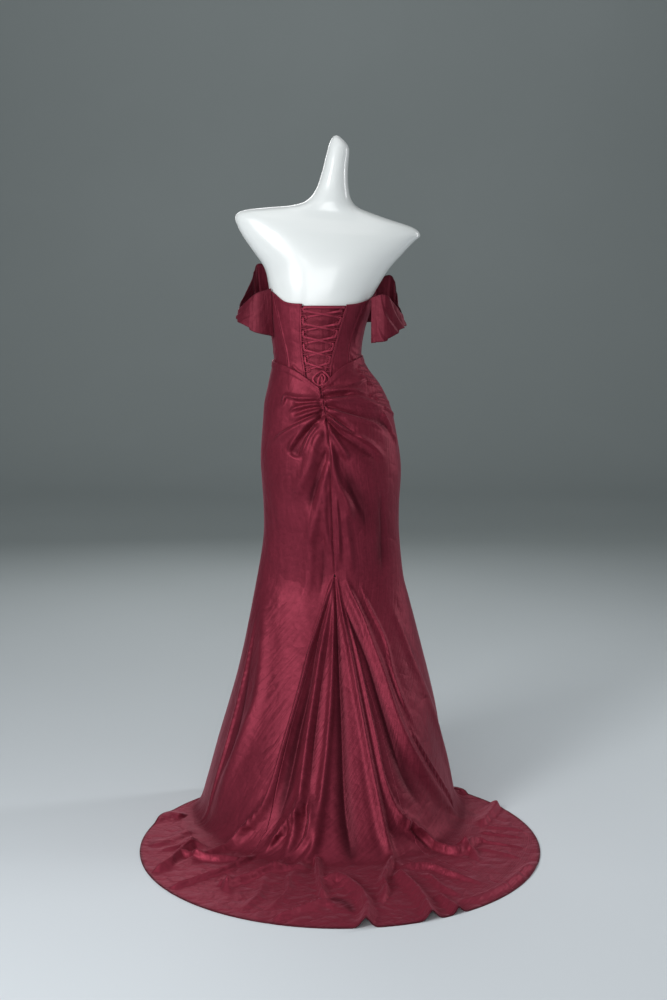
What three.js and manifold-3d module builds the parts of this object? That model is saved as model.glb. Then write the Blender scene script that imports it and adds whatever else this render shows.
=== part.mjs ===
// A laced, off-shoulder satin prom dress with a round train, on a limbless dress form.
// Millimetres, +Z up. The origin is on the floor, at the centre of the train's round hem.
// The dress faces -Y, so its laced back faces +Y, and its left side is towards +X.
import * as THREE from "three";
import Module from "manifold-3d";

const wasm = await Module();
wasm.setup();

// Driving dimensions
const WALL = 2; // thickness of the cloth
const SEAM = 0.3; // gap between two pieces at a seam
const HEM_RADIUS = 470; // the round hem of the train
const BODY_Y = -294; // the body's axis, in front of the centre of the hem
const FOOT_X = 3; // the body's axis where it meets the floor
const SECTION_POWER = 2.15; // 2 is an ellipse, more is squarer
const TURN_HEIGHT = 45; // where the skirt starts to turn onto the floor
const TURN_REACH = 34; // how far the turn runs out over the floor
const TURN_SHARE = 0.6; // and at most this share of the way to the hem
const FALL = 0.72; // share of the rows down the cloth that is above the turn
const TURN = 0.82; // share that is above the floor
const MODESTY_GAP = 0.8; // form to modesty panel
const MODESTY_WALL = 1.5;
const MODESTY_DROP = 3; // its top edge is this far below the bodice's
const MODESTY_MARGIN = 7; // how far it runs under each laced edge, in degrees
const BODICE_GAP = 2; // form to bodice
const LACED_LIFT = 3.2; // form to bodice along the laced edges, over the modesty panel
const BODICE_BOTTOM = 1035; // the bodice ends inside the skirt
const SKIRT_SEAT = 1.6; // bodice to skirt at the skirt's top edge
const SKIRT_LOOSE = 3; // the same further down, where the skirt hangs free
const SEAT_DEPTH = 40; // depth over which the one becomes the other
const FORM_LOW = 800; // below this the skirt hangs clear of the form
const HEM_LEFT = 8; // at least this much cloth lies on the floor all round
const EASE = 12; // how gently the skirt meets that limit
const TOP_HEIGHT = 1133; // the skirt's top edge: level round the front, with a V at the centre back
const TOP_TILT = 6;
const V_DEPTH = 72;
const V_WIDTH = 32; // in degrees
const V_POWER = 1.2;
const BAND_WIDTH = 14; // the folded band that stands proud along the top edge
const BAND_HEIGHT = 1.5;
const CENTRE_BACK = 90; // angle of the centre-back seam, in degrees
const CENTRE_FRONT = 270;
const APEX_HEIGHT = 606; // where the centre-back seam opens into the godet
const SLANT_GAP = 1.6; // the godet's seams slant, so their gap along a row is this much wider
const LACED_ZONE = { from: 42, full: 54, fullTo: 139, to: 151 }; // angles where the bodice is lifted

// The body's axis leans and sways: its place along X at each height
const AXIS = [
  { z: 0, x: FOOT_X },
  { z: 250, x: 7 },
  { z: 590, x: 12 },
  { z: 765, x: 19 },
  { z: 866, x: 22 },
  { z: 965, x: 28 },
  { z: 1015, x: 36 },
  { z: 1064, x: 46 },
  { z: 1110, x: 52 },
  { z: 1138, x: 54 },
  { z: 1200, x: 52 },
  { z: 1270, x: 45 },
  { z: 1349, x: 31 },
  { z: 1435, x: 30 },
  { z: 1507, x: 22 },
  { z: 1549, x: 16 },
  { z: 1606, x: 7 },
  { z: 1634, x: 3 },
  { z: 1662, x: 8 },
];

// The dress form: how far it reaches from its axis each way, and its slope from side to side
const FORM = [
  { z: 772, left: 96, right: 96, back: 72, front: 64, slope: 0 },
  { z: 790, left: 138, right: 138, back: 98, front: 88, slope: 0 },
  { z: 822, left: 158, right: 158, back: 112, front: 99, slope: 0 },
  { z: 866, left: 164, right: 164, back: 121, front: 106, slope: 0 },
  { z: 941, left: 157, right: 158, back: 117, front: 104, slope: 0 },
  { z: 1015, left: 141, right: 149, back: 105, front: 98, slope: 0 },
  { z: 1064, left: 121, right: 133, back: 94, front: 92, slope: 0 },
  { z: 1110, left: 106, right: 110, back: 86, front: 86, slope: 0 },
  { z: 1138, left: 102, right: 102, back: 83, front: 84, slope: 0 },
  { z: 1200, left: 112, right: 108, back: 86, front: 96, slope: 0 },
  { z: 1240, left: 119, right: 117, back: 89, front: 111, slope: 0 },
  { z: 1270, left: 124, right: 121, back: 91, front: 112, slope: 0 },
  { z: 1306, left: 135, right: 133, back: 92, front: 98, slope: 0 },
  { z: 1349, left: 153, right: 152, back: 90, front: 84, slope: 0.01 },
  { z: 1392, left: 186, right: 186, back: 84, front: 72, slope: 0.03 },
  { z: 1426, left: 212, right: 212, back: 74, front: 62, slope: 0.06 },
  { z: 1450, left: 224, right: 224, back: 62, front: 52, slope: 0.1 },
  { z: 1466, left: 206, right: 206, back: 54, front: 46, slope: 0.1 },
  { z: 1480, left: 150, right: 138, back: 50, front: 43, slope: 0.09 },
  { z: 1493, left: 92, right: 78, back: 50, front: 43, slope: 0.06 },
  { z: 1507, left: 60, right: 54, back: 50, front: 42, slope: 0.03 },
  { z: 1535, left: 40, right: 40, back: 44, front: 38, slope: 0 },
  { z: 1578, left: 31, right: 31, back: 40, front: 34, slope: 0 },
  { z: 1634, left: 25, right: 25, back: 32, front: 28, slope: 0 },
  { z: 1652, left: 16, right: 16, back: 20, front: 18, slope: 0 },
  { z: 1662, left: 6, right: 6, back: 8, front: 7, slope: 0 },
];

// The skirt, measured to its inner face: how far it reaches from the axis each way
const SKIRT = [
  { z: 0, left: 350, right: 300, back: 416, front: 166 },
  { z: 40, left: 339, right: 290, back: 390, front: 158 },
  { z: 93, left: 323, right: 277, back: 360, front: 146 },
  { z: 172, left: 300, right: 262, back: 318, front: 132 },
  { z: 251, left: 275, right: 250, back: 275, front: 121 },
  { z: 330, left: 251, right: 233, back: 230, front: 113 },
  { z: 408, left: 231, right: 214, back: 186, front: 107 },
  { z: 485, left: 214, right: 195, back: 142, front: 103 },
  { z: 537, left: 203, right: 182, back: 116, front: 101 },
  { z: 588, left: 192, right: 170, back: 102, front: 100 },
  { z: 690, left: 172, right: 163, back: 110, front: 104 },
  { z: 765, left: 168, right: 165, back: 122, front: 110 },
  { z: 866, left: 170, right: 172, back: 130, front: 114 },
  { z: 965, left: 158, right: 163, back: 123, front: 110 },
  { z: 1015, left: 144, right: 158, back: 112, front: 104 },
  { z: 1064, left: 126, right: 144, back: 100, front: 97 },
  { z: 1110, left: 112, right: 116, back: 90, front: 90 },
  { z: 1150, left: 103, right: 103, back: 84, front: 85 },
];

// Height of the bodice's top edge round the body, by angle in degrees
const NECKLINE = [
  { angle: -90, z: 1288 },
  { angle: -62, z: 1312 },
  { angle: -20, z: 1300 },
  { angle: 18, z: 1293 },
  { angle: 40, z: 1269 },
  { angle: 64, z: 1264 },
  { angle: 128, z: 1262 },
  { angle: 155, z: 1270 },
  { angle: 178, z: 1286 },
  { angle: 202, z: 1300 },
  { angle: 242, z: 1312 },
  { angle: 270, z: 1288 },
];

// Angles of the bodice's seams and laced edges at each height, in degrees
const BODICE_SEAMS = [
  { z: 1035, princessL: 47, lacedL: 74, lacedR: 99, princessR: 136 },
  { z: 1105, princessL: 45, lacedL: 71, lacedR: 107, princessR: 137 },
  { z: 1180, princessL: 37, lacedL: 67, lacedR: 118, princessR: 142 },
  { z: 1300, princessL: 20, lacedL: 64, lacedR: 129, princessR: 158 },
];

// The bodice's panels, each between two seams named above or two fixed angles
const BODICE_PANELS = [
  { name: "bodice_front_side_l", from: -48, to: 0, columns: 6 },
  { name: "bodice_back_side_l", from: 0, to: "princessL", columns: 5 },
  { name: "bodice_back_l", from: "princessL", to: "lacedL", columns: 5 },
  { name: "bodice_back_r", from: "lacedR", to: "princessR", columns: 5 },
  { name: "bodice_back_side_r", from: "princessR", to: 180, columns: 5 },
  { name: "bodice_front_side_r", from: 180, to: 228, columns: 6 },
  { name: "bodice_front_centre", from: 228, to: 312, columns: 10 },
];
const BODICE_ROWS = 11;
const BODICE_MIDDLE = 1155; // height at which a panel's angles are first taken

// Draped folds that run from the gathered centre-back seam round the hips. Each goes from
// one place to another past a middle one, each place as [angle, height].
const HIP_FOLDS = [
  { name: "top left", from: [84, 1040], by: [60, 1062], to: [22, 1096], width: 11, high: 5 },
  { name: "upper left", from: [86, 1034], by: [62, 1044], to: [36, 1014], width: 9, high: 6 },
  { name: "middle left", from: [86, 1024], by: [62, 1016], to: [46, 994], width: 9, high: 6 },
  { name: "long left", from: [86, 1000], by: [52, 965], to: [14, 905], width: 12, high: 7 },
  { name: "steep left", from: [88, 990], by: [72, 950], to: [58, 880], width: 11, high: 6 },
  { name: "low left", from: [89, 975], by: [80, 930], to: [70, 862], width: 10, high: 4 },
  { name: "top right", from: [98, 1044], by: [118, 1068], to: [158, 1104], width: 11, high: 5 },
  { name: "upper right", from: [95, 1036], by: [118, 1058], to: [150, 1062], width: 9, high: 6 },
  { name: "middle right", from: [93, 1026], by: [118, 1026], to: [152, 1012], width: 10, high: 6 },
  { name: "long right", from: [92, 1008], by: [128, 985], to: [170, 925], width: 12, high: 7 },
  { name: "low right", from: [92, 990], by: [120, 945], to: [150, 880], width: 11, high: 6 },
  { name: "steep right", from: [92, 970], by: [99, 930], to: [106, 868], width: 10, high: 4 },
  { name: "right hip 1", from: [160, 1086], by: [176, 1078], to: [196, 1082], width: 8, high: 4 },
  { name: "right hip 2", from: [158, 1046], by: [176, 1032], to: [200, 1040], width: 9, high: 4 },
  { name: "right hip 3", from: [160, 990], by: [178, 968], to: [204, 972], width: 9, high: 4 },
  { name: "left hip 1", from: [24, 1062], by: [6, 1058], to: [-20, 1068], width: 10, high: 4 },
  { name: "left hip 2", from: [20, 985], by: [2, 968], to: [-24, 974], width: 10, high: 4 },
];

// Ridges that fan out below the apex and run down onto the train: their angle at each level,
// and their width and height where they meet the floor
const FAN = [
  { name: "left side", from: 560, knee: 26, calf: 44, floor: 36, train: 30, hem: 26, width: 46, high: 8 },
  { name: "left 1", from: 600, knee: 73, calf: 66, floor: 56, train: 50, hem: 50, width: 30, high: 15 },
  { name: "left 2", from: 606, knee: 81, calf: 75.5, floor: 74, train: 70, hem: 66, width: 24, high: 15 },
  { name: "left 3", from: 606, knee: 86.5, calf: 85, floor: 82, train: 79, hem: 80, width: 22, high: 14 },
  { name: "right 1", from: 606, knee: 97, calf: 97.5, floor: 99, train: 96, hem: 94, width: 22, high: 13 },
  { name: "right 2", from: 606, knee: 104, calf: 105, floor: 108, train: 108, hem: 105, width: 22, high: 14 },
  { name: "right 3", from: 600, knee: 110, calf: 113, floor: 120, train: 127, hem: 128, width: 26, high: 14 },
  { name: "right 4", from: 596, knee: 120, calf: 124, floor: 146, train: 156, hem: 160, width: 30, high: 12 },
  { name: "right side", from: 560, knee: 148, calf: 146, floor: 168, train: 176, hem: 184, width: 30, high: 8 },
];

// Puddled folds on the train, each place as [angle, share of the way from the skirt to the hem]
const TRAIN_FOLDS = [
  { name: "left shoulder", from: [28, 0.35], by: [42, 0.5], to: [58, 0.35], width: 20, high: 10 },
  { name: "left sweep", from: [40, 0.8], by: [52, 0.72], to: [66, 0.75], width: 18, high: 8 },
  { name: "left loop", from: [62, 0.3], by: [70, 0.45], to: [80, 0.3], width: 16, high: 9 },
  { name: "middle arch", from: [93.5, 0.6], by: [94, 0.8], to: [94, 1], width: 16, high: 12 },
  { name: "right arch", from: [104, 0.55], by: [106, 0.8], to: [105.5, 1], width: 17, high: 11 },
  { name: "right loop", from: [100, 0.2], by: [112, 0.42], to: [124, 0.3], width: 18, high: 10 },
  { name: "right sweep", from: [118, 0.66], by: [134, 0.6], to: [150, 0.7], width: 20, high: 9 },
  { name: "right corner", from: [150, 0.5], by: [162, 0.62], to: [172, 0.8], width: 20, high: 12 },
];

// Places of the fan's levels: heights, and runs of cloth past the floor
const KNEE = 460;
const CALF = 210;
const FLOOR_LEVEL = 40;
const TRAIN_RUN = 100;
const HEM_RUN = 240;
const APEX_FOLD = 590; // a ridge from above this height starts at the apex
const APEX_SPREAD = 0.1; // how far from the centre back to its knee such a ridge starts
const SIDE_SPREAD = 0.9; // the same for a ridge at the side
const FAN_NARROW = 0.22; // a ridge's width at its start, as a share of its full width
const FAN_WIDEN = 0.3; // what it gains on the floor
const FAN_FADE = 0.35; // share of the train where it starts to die out

// How the drawn folds start and end, as shares of their length and height
const HIP_START = 0.6;
const FADE_IN = 0.2;
const FADE_OUT = 0.6;
const FOLD_STEPS = 10;
const FOLD_REACH = 3; // in widths
const FLAT = 0.02; // cloth that is raised less than this lies flat on the floor

// Half the angle of the godet at each height, and at the hem
const GODET_HEM = -200; // stands for the hem
const GODET = [
  { z: GODET_HEM, half: 34 },
  { z: 0, half: 27 },
  { z: 300, half: 22 },
  { z: 480, half: 14 },
  { z: 580, half: 4 },
  { z: APEX_HEIGHT, half: 1.2 },
];

// Sleeves: a draped band from the back of the bodice, out round the arm and back to the
// front. Its ends have an angle on the bodice, and its other stations a place in plan. An end
// with a hang of 0 follows the bodice down, and one with a hang of 1 falls straight.
const SLEEVES = [
  {
    name: "sleeve_l",
    facing: -1,
    pleats: 3,
    back: { angle: 19, top: 1300, bottom: 1183, hang: 0 },
    front: { angle: -38, top: 1312, bottom: 1236, hang: 0 },
    stations: [
      { x: 204, y: -250, top: 1287, bottom: 1197 },
      { x: 243, y: -284, top: 1256, bottom: 1226 },
      { x: 216, y: -326, top: 1320, bottom: 1232 },
      { x: 196, y: -352, top: 1361, bottom: 1236 },
    ],
  },
  {
    name: "sleeve_r",
    facing: 1,
    pleats: 5,
    back: { angle: 162, top: 1279, bottom: 1168, hang: 1 },
    front: { angle: 218, top: 1300, bottom: 1216, hang: 0 },
    stations: [
      { x: -112, y: -250, top: 1284, bottom: 1176 },
      { x: -150, y: -286, top: 1240, bottom: 1208 },
      { x: -144, y: -325, top: 1262, bottom: 1212 },
      { x: -127, y: -357, top: 1332, bottom: 1216 },
    ],
  },
];
const SLEEVE_END_GAP = 1.3;
const SLEEVE_PLEAT_HEIGHT = 2.5;
const SLEEVE_PLEAT_SLANT = 1.2; // pleats that a line straight down the sleeve crosses
const SLEEVE_FLARE = 10; // the hem stands further out than the top edge

// Lacing
const LACED_ROWS = 10;
const LACED_TOP = 1247;
const LACED_BOTTOM = 1107;
const LACE_BAR = 8; // the lace's middle runs straight across, this far over the first loops
const LACE_WIDTH = 4;
const LACE_THICK = 1.2;
const LACE_LOW = 4.1; // height of a lace's middle over the form, under a loop or a crossing
const LACE_HIGH = 8.4; // the same, over a loop or a crossing
const LACE_ARC = 2.6; // a lace turns in its loop on an arc of this radius
const LACE_LEAN = 0.6; // a lace leans in by this where it runs down through a loop
const LACE_TURN = 0.4;
const LACE_STEPS = 8; // samples on each straight run
const BAR_SHARES = [0, 0.25, 0.5, 0.75, 0.94]; // samples on the lace's straight middle
const DIP_LATE = { from: 0.68, to: 0.9 }; // where a lace that crosses over drops to the next loop
const DIP_EARLY = { from: 0.1, to: 0.32 }; // where one that crosses under drops
const LOOP_HEIGHT = 6.6; // height of a loop's cord over the form
const LOOP_CORD = 0.75; // radius of that cord
const LOOP_REACH = 11;
const LOOP_HALF = 6;
const LOOP_LEG = 5; // half the height between a loop's legs
const LOOP_ROOT = 3.5; // a loop is sewn down this far behind the edge
const LOOP_BENDS = 3;
const LOOP_SIDES = 4;
const TAPE_INSET = 0.4;
const TAPE_WIDTH = 5;
const TAPE_THICK = 1;

// The form's rings
const FORM_SIDES = 24;
const FORM_CAP = 2; // the neck's top over its last ring
const FORM_HEIGHTS = [
  772, 780, 792, 822, 866, 912, 960, 1015, 1064, 1092, 1115, 1138, 1170, 1205, 1240, 1270, 1306, 1349,
  1380, 1408, 1430, 1450, 1460, 1469, 1478, 1487, 1496, 1507, 1535, 1578, 1620, 1642, 1655, 1662,
];

// Stand
const POLE_SIDES = 24;
const BASE_SIDES = 32;
const POLE_RADIUS = 16;
const POLE_TOP = 771.7;
const BASE_RADIUS = 135;
const BASE_HEIGHT = 9;
const BASE_BEVEL = 2;

// Rows down the skirt, the same on every piece so that their seams run together
const ROW_BANDS = [
  { name: "gathered hips", from: 0, to: 0.17, rows: 9 },
  { name: "thighs", from: 0.17, to: 0.34, rows: 4 },
  { name: "flare", from: 0.34, to: FALL, rows: 6 },
  { name: "turn", from: FALL, to: TURN, rows: 3 },
  { name: "train", from: TURN, to: 1, rows: 6 },
];
const COLUMNS = { front: 18, back: 20, godet: 14, sleeve: 26 };
const SLEEVE_ROWS = 6;

const SATIN = new THREE.MeshStandardMaterial({ color: 0x6e2434, roughness: 0.42, metalness: 0 });
const GLOSS_WHITE = new THREE.MeshStandardMaterial({ color: 0xf2f2ee, roughness: 0.22, metalness: 0 });
const PAINTED_STEEL = new THREE.MeshStandardMaterial({ color: 0xd9d9d6, roughness: 0.35, metalness: 0.6 });

const radians = THREE.MathUtils.degToRad;
const degrees = THREE.MathUtils.radToDeg;
const lerp = THREE.MathUtils.lerp;
const smooth = THREE.MathUtils.smoothstep;

// A smooth curve through one column of a table, over its key column
function column(rows, key, name, at) {
  const last = rows.length - 1;
  const x = THREE.MathUtils.clamp(at, rows[0][key], rows[last][key]);
  let i = 0;
  while (i < last - 1 && x > rows[i + 1][key]) i += 1;
  const slope = (k) => {
    const a = rows[Math.max(k - 1, 0)];
    const b = rows[Math.min(k + 1, last)];
    return (b[name] - a[name]) / (b[key] - a[key]);
  };
  const a = rows[i];
  const b = rows[i + 1];
  const step = b[key] - a[key];
  const t = (x - a[key]) / step;
  const t2 = t * t;
  const t3 = t2 * t;
  const fromA = (2 * t3 - 3 * t2 + 1) * a[name] + (t3 - 2 * t2 + t) * step * slope(i);
  const fromB = (3 * t2 - 2 * t3) * b[name] + (t3 - t2) * step * slope(i + 1);
  return fromA + fromB;
}

const axisX = (z) => column(AXIS, "z", "x", z);

// Distance from the axis to a section's edge at an angle in degrees
function reach(rows, angle, z) {
  const c = Math.cos(radians(angle));
  const s = Math.sin(radians(angle));
  const across = column(rows, "z", c > 0 ? "left" : "right", z);
  const along = column(rows, "z", s > 0 ? "back" : "front", z);
  const sum = Math.abs(c / across) ** SECTION_POWER + Math.abs(s / along) ** SECTION_POWER;
  return sum ** (-1 / SECTION_POWER);
}

function polar(angle, distance, z) {
  const a = radians(angle);
  return new THREE.Vector3(axisX(z) + distance * Math.cos(a), BODY_Y + distance * Math.sin(a), z);
}

// A closed mesh is turned so that its faces point out
function closedMesh(name, points, faces, material) {
  const positions = new Float32Array(points.length * 3);
  points.forEach((p, i) => p.toArray(positions, i * 3));
  let volume = 0;
  for (const [a, b, c] of faces) volume += points[a].dot(points[b].clone().cross(points[c]));
  const turned = volume < 0 ? faces.map(([a, b, c]) => [a, c, b]) : faces;
  const geometry = new THREE.BufferGeometry();
  geometry.setAttribute("position", new THREE.BufferAttribute(positions, 3));
  geometry.setIndex(turned.flat());
  geometry.computeVertexNormals();
  const mesh = new THREE.Mesh(geometry, material);
  mesh.name = name;
  return mesh;
}

// A wall of cloth between an inner and an outer grid of points, with its rim closed
function wall(name, columns, rows, place, material) {
  const points = [];
  const faces = [];
  for (let side = 0; side < 2; side += 1) {
    for (let j = 0; j <= rows; j += 1) {
      for (let i = 0; i <= columns; i += 1) points.push(place(i / columns, j / rows, side));
    }
  }
  const index = (i, j, side) => (side * (rows + 1) + j) * (columns + 1) + i;
  const quad = (a, b, c, d) => faces.push([a, b, c], [a, c, d]);
  for (let j = 0; j < rows; j += 1) {
    for (let i = 0; i < columns; i += 1) {
      quad(index(i, j, 1), index(i + 1, j, 1), index(i + 1, j + 1, 1), index(i, j + 1, 1));
      quad(index(i, j, 0), index(i, j + 1, 0), index(i + 1, j + 1, 0), index(i + 1, j, 0));
    }
  }
  for (let i = 0; i < columns; i += 1) {
    quad(index(i, 0, 0), index(i + 1, 0, 0), index(i + 1, 0, 1), index(i, 0, 1));
    quad(index(i, rows, 1), index(i + 1, rows, 1), index(i + 1, rows, 0), index(i, rows, 0));
  }
  for (let j = 0; j < rows; j += 1) {
    quad(index(0, j, 1), index(0, j + 1, 1), index(0, j + 1, 0), index(0, j, 0));
    quad(index(columns, j, 0), index(columns, j + 1, 0), index(columns, j + 1, 1), index(columns, j, 1));
  }
  return closedMesh(name, points, faces, material);
}

// A solid through rings of points, with a point closing each end
function loft(name, rings, first, last, material) {
  const points = [first, ...rings.flat(), last];
  const count = rings[0].length;
  const faces = [];
  const at = (r, i) => 1 + r * count + (i % count);
  for (let i = 0; i < count; i += 1) {
    faces.push([0, at(0, i + 1), at(0, i)]);
    faces.push([points.length - 1, at(rings.length - 1, i), at(rings.length - 1, i + 1)]);
    for (let r = 0; r < rings.length - 1; r += 1) {
      faces.push([at(r, i), at(r, i + 1), at(r + 1, i + 1)]);
      faces.push([at(r, i), at(r + 1, i + 1), at(r + 1, i)]);
    }
  }
  return closedMesh(name, points, faces, material);
}

// The dress form
function formPoint(angle, z) {
  const point = polar(angle, reach(FORM, angle, z), z);
  point.z += (point.x - axisX(z)) * column(FORM, "z", "slope", z);
  return point;
}

function makeForm() {
  const rings = FORM_HEIGHTS.map((z) => {
    const ring = [];
    for (let i = 0; i < FORM_SIDES; i += 1) ring.push(formPoint((i * 360) / FORM_SIDES, z));
    return ring;
  });
  const low = FORM_HEIGHTS[0];
  const high = FORM_HEIGHTS[FORM_HEIGHTS.length - 1];
  const bottom = new THREE.Vector3(axisX(low), BODY_Y, low);
  const top = new THREE.Vector3(axisX(high), BODY_Y, high + FORM_CAP);
  return loft("form_torso", rings, bottom, top, GLOSS_WHITE);
}

function makeStand() {
  const pole = new THREE.Mesh(
    new THREE.CylinderGeometry(POLE_RADIUS, POLE_RADIUS, POLE_TOP - BASE_HEIGHT - SEAM, POLE_SIDES),
    PAINTED_STEEL,
  );
  pole.name = "form_pole";
  pole.rotation.x = Math.PI / 2;
  pole.position.set(axisX(POLE_TOP), BODY_Y, (POLE_TOP + BASE_HEIGHT + SEAM) / 2);
  const profile = [
    new THREE.Vector2(0, 0),
    new THREE.Vector2(BASE_RADIUS, 0),
    new THREE.Vector2(BASE_RADIUS, BASE_HEIGHT - BASE_BEVEL),
    new THREE.Vector2(BASE_RADIUS - BASE_BEVEL, BASE_HEIGHT),
    new THREE.Vector2(0, BASE_HEIGHT),
  ];
  const base = new THREE.Mesh(new THREE.LatheGeometry(profile, BASE_SIDES), PAINTED_STEEL);
  base.name = "form_base";
  base.rotation.x = Math.PI / 2;
  base.position.set(axisX(POLE_TOP), BODY_Y, 0);
  return [pole, base];
}

// The bodice
function laced(angle) {
  const { from, full, fullTo, to } = LACED_ZONE;
  return smooth(angle, from, full) * (1 - smooth(angle, fullTo, to));
}

function bodiceReach(angle, z) {
  return reach(FORM, angle, z) + lerp(BODICE_GAP, LACED_LIFT, laced(angle));
}

function bodicePoint(angle, z, lift) {
  return polar(angle, bodiceReach(angle, z) + lift, z);
}

function neckline(angle) {
  return column(NECKLINE, "angle", "z", angle > CENTRE_FRONT ? angle - 360 : angle);
}

// Half a seam's gap, as an angle at that distance from the axis
function seamAngle(distance) {
  return degrees(SEAM / 2 / distance);
}

// A seam's angle at a height, from its name in the table or its fixed angle
function seamAt(seam, z) {
  return typeof seam === "string" ? column(BODICE_SEAMS, "z", seam, z) : seam;
}

// A place's height depends on its angle and its angle on its height, so both are taken twice
function makeBodicePanel({ name, from, to, columns }) {
  const place = (u, v, side) => {
    let angle = lerp(seamAt(from, BODICE_MIDDLE), seamAt(to, BODICE_MIDDLE), u);
    let z = BODICE_MIDDLE;
    for (let pass = 0; pass < 2; pass += 1) {
      z = lerp(neckline(angle), BODICE_BOTTOM, v);
      const gap = seamAngle(reach(FORM, angle, z));
      angle = lerp(seamAt(from, z) + gap, seamAt(to, z) - gap, u);
    }
    return bodicePoint(angle, z, side * WALL);
  };
  return wall(name, columns, BODICE_ROWS, place, SATIN);
}

function makeModestyPanel() {
  const place = (u, v, side) => {
    const z = lerp(neckline(CENTRE_BACK) - MODESTY_DROP, BODICE_BOTTOM, v);
    const angle = lerp(seamAt("lacedL", z) - MODESTY_MARGIN, seamAt("lacedR", z) + MODESTY_MARGIN, u);
    return polar(angle, reach(FORM, angle, z) + MODESTY_GAP + side * MODESTY_WALL, z);
  };
  return wall("modesty_panel", 8, 8, place, SATIN);
}

// The lacing lies on the back, where a place is given across and up
function backAngle(x, z) {
  const dx = x - axisX(z);
  const across = column(FORM, "z", dx > 0 ? "left" : "right", z);
  const along = column(FORM, "z", "back", z);
  const y = along * (1 - Math.abs(dx / across) ** SECTION_POWER) ** (1 / SECTION_POWER);
  return degrees(Math.atan2(y, dx));
}

function lacedEdge(side, z) {
  const angle = seamAt(side > 0 ? "lacedL" : "lacedR", z);
  return polar(angle, reach(FORM, angle, z), z).x;
}

function onBack(x, z, lift) {
  const angle = backAngle(x, z);
  return polar(angle, reach(FORM, angle, z) + lift, z);
}

function lacedHeight(row) {
  return lerp(LACED_TOP, LACED_BOTTOM, row / (LACED_ROWS - 1));
}

// A strip or cord swept along points, each with the direction that is up for it
function sweepRings(path, section) {
  return path.map((node, i) => {
    const before = path[Math.max(i - 1, 0)].point;
    const after = path[Math.min(i + 1, path.length - 1)].point;
    const along = after.clone().sub(before).normalize();
    const across = along.clone().cross(node.up).normalize();
    const up = across.clone().cross(along).normalize();
    return section.map(([a, b]) => node.point.clone().addScaledVector(across, a).addScaledVector(up, b));
  });
}

function backUp(x, z) {
  const angle = radians(backAngle(x, z));
  return new THREE.Vector3(Math.cos(angle), Math.sin(angle), 0);
}

// One lace: it crosses from a loop to the next one on the other side, runs down through the
// loop after it and crosses back. At each crossing the two laces pass over and under.
function lacePath(startSide, overFirst) {
  const path = [];
  const add = (x, z, lift) => path.push({ point: onBack(x, z, lift), up: backUp(x, z) });
  const inset = LACE_WIDTH / 2 + 3 * SEAM;
  const inside = (side, z) => lacedEdge(side, z) - side * inset;
  let side = startSide;
  if (overFirst) {
    const z = LACED_TOP + LACE_BAR;
    for (const t of BAR_SHARES) {
      add(lerp(inside(-side, z), inside(side, z) - side * LACE_ARC, t), z, LACE_HIGH);
    }
    add(inside(side, z) - side * LACE_LEAN, z - LACE_ARC * LACE_LEAN, LACE_HIGH);
  }
  for (let row = 0; row < LACED_ROWS; row += 2) {
    const z = lacedHeight(row);
    const nextZ = lacedHeight(row + 1);
    const x = inside(side, z) - side * LACE_ARC;
    const nextX = inside(-side, nextZ) + side * LACE_ARC;
    if (row > 0 || overFirst) {
      add(inside(side, z), z + LACE_ARC, LACE_HIGH);
      add(inside(side, z) - side * LACE_LEAN, z + LACE_TURN, LACE_HIGH);
    }
    const dip = overFirst === (row % 4 === 0) ? DIP_LATE : DIP_EARLY;
    for (let step = 0; step <= LACE_STEPS; step += 1) {
      const t = step / LACE_STEPS;
      add(lerp(x, nextX, t), lerp(z, nextZ, t), lerp(LACE_HIGH, LACE_LOW, smooth(t, dip.from, dip.to)));
    }
    side = -side;
    if (row + 2 < LACED_ROWS) {
      add(inside(side, nextZ) - side * LACE_LEAN, nextZ - LACE_TURN, (LACE_LOW + LACE_HIGH) / 2);
      add(inside(side, nextZ - LACE_ARC), nextZ - LACE_ARC, LACE_HIGH);
    }
  }
  return path;
}

function makeLace(name, startSide, overFirst) {
  const half = LACE_WIDTH / 2;
  const deep = LACE_THICK / 2;
  const section = [
    [-half, -deep],
    [half, -deep],
    [half, deep],
    [-half, deep],
  ];
  const path = lacePath(startSide, overFirst);
  return loft(name, sweepRings(path, section), path[0].point, path[path.length - 1].point, SATIN);
}

function solidOf(mesh) {
  const { attributes, index } = mesh.geometry;
  const vertProperties = attributes.position.array;
  const triVerts = new Uint32Array(index.array);
  return new wasm.Manifold(new wasm.Mesh({ numProp: 3, vertProperties, triVerts }));
}

function meshOf(name, solid, material) {
  const made = solid.getMesh();
  const geometry = new THREE.BufferGeometry();
  geometry.setAttribute("position", new THREE.BufferAttribute(made.vertProperties, 3));
  geometry.setIndex(new THREE.BufferAttribute(made.triVerts, 1));
  geometry.computeVertexNormals();
  const mesh = new THREE.Mesh(geometry, material);
  mesh.name = name;
  return mesh;
}

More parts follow.
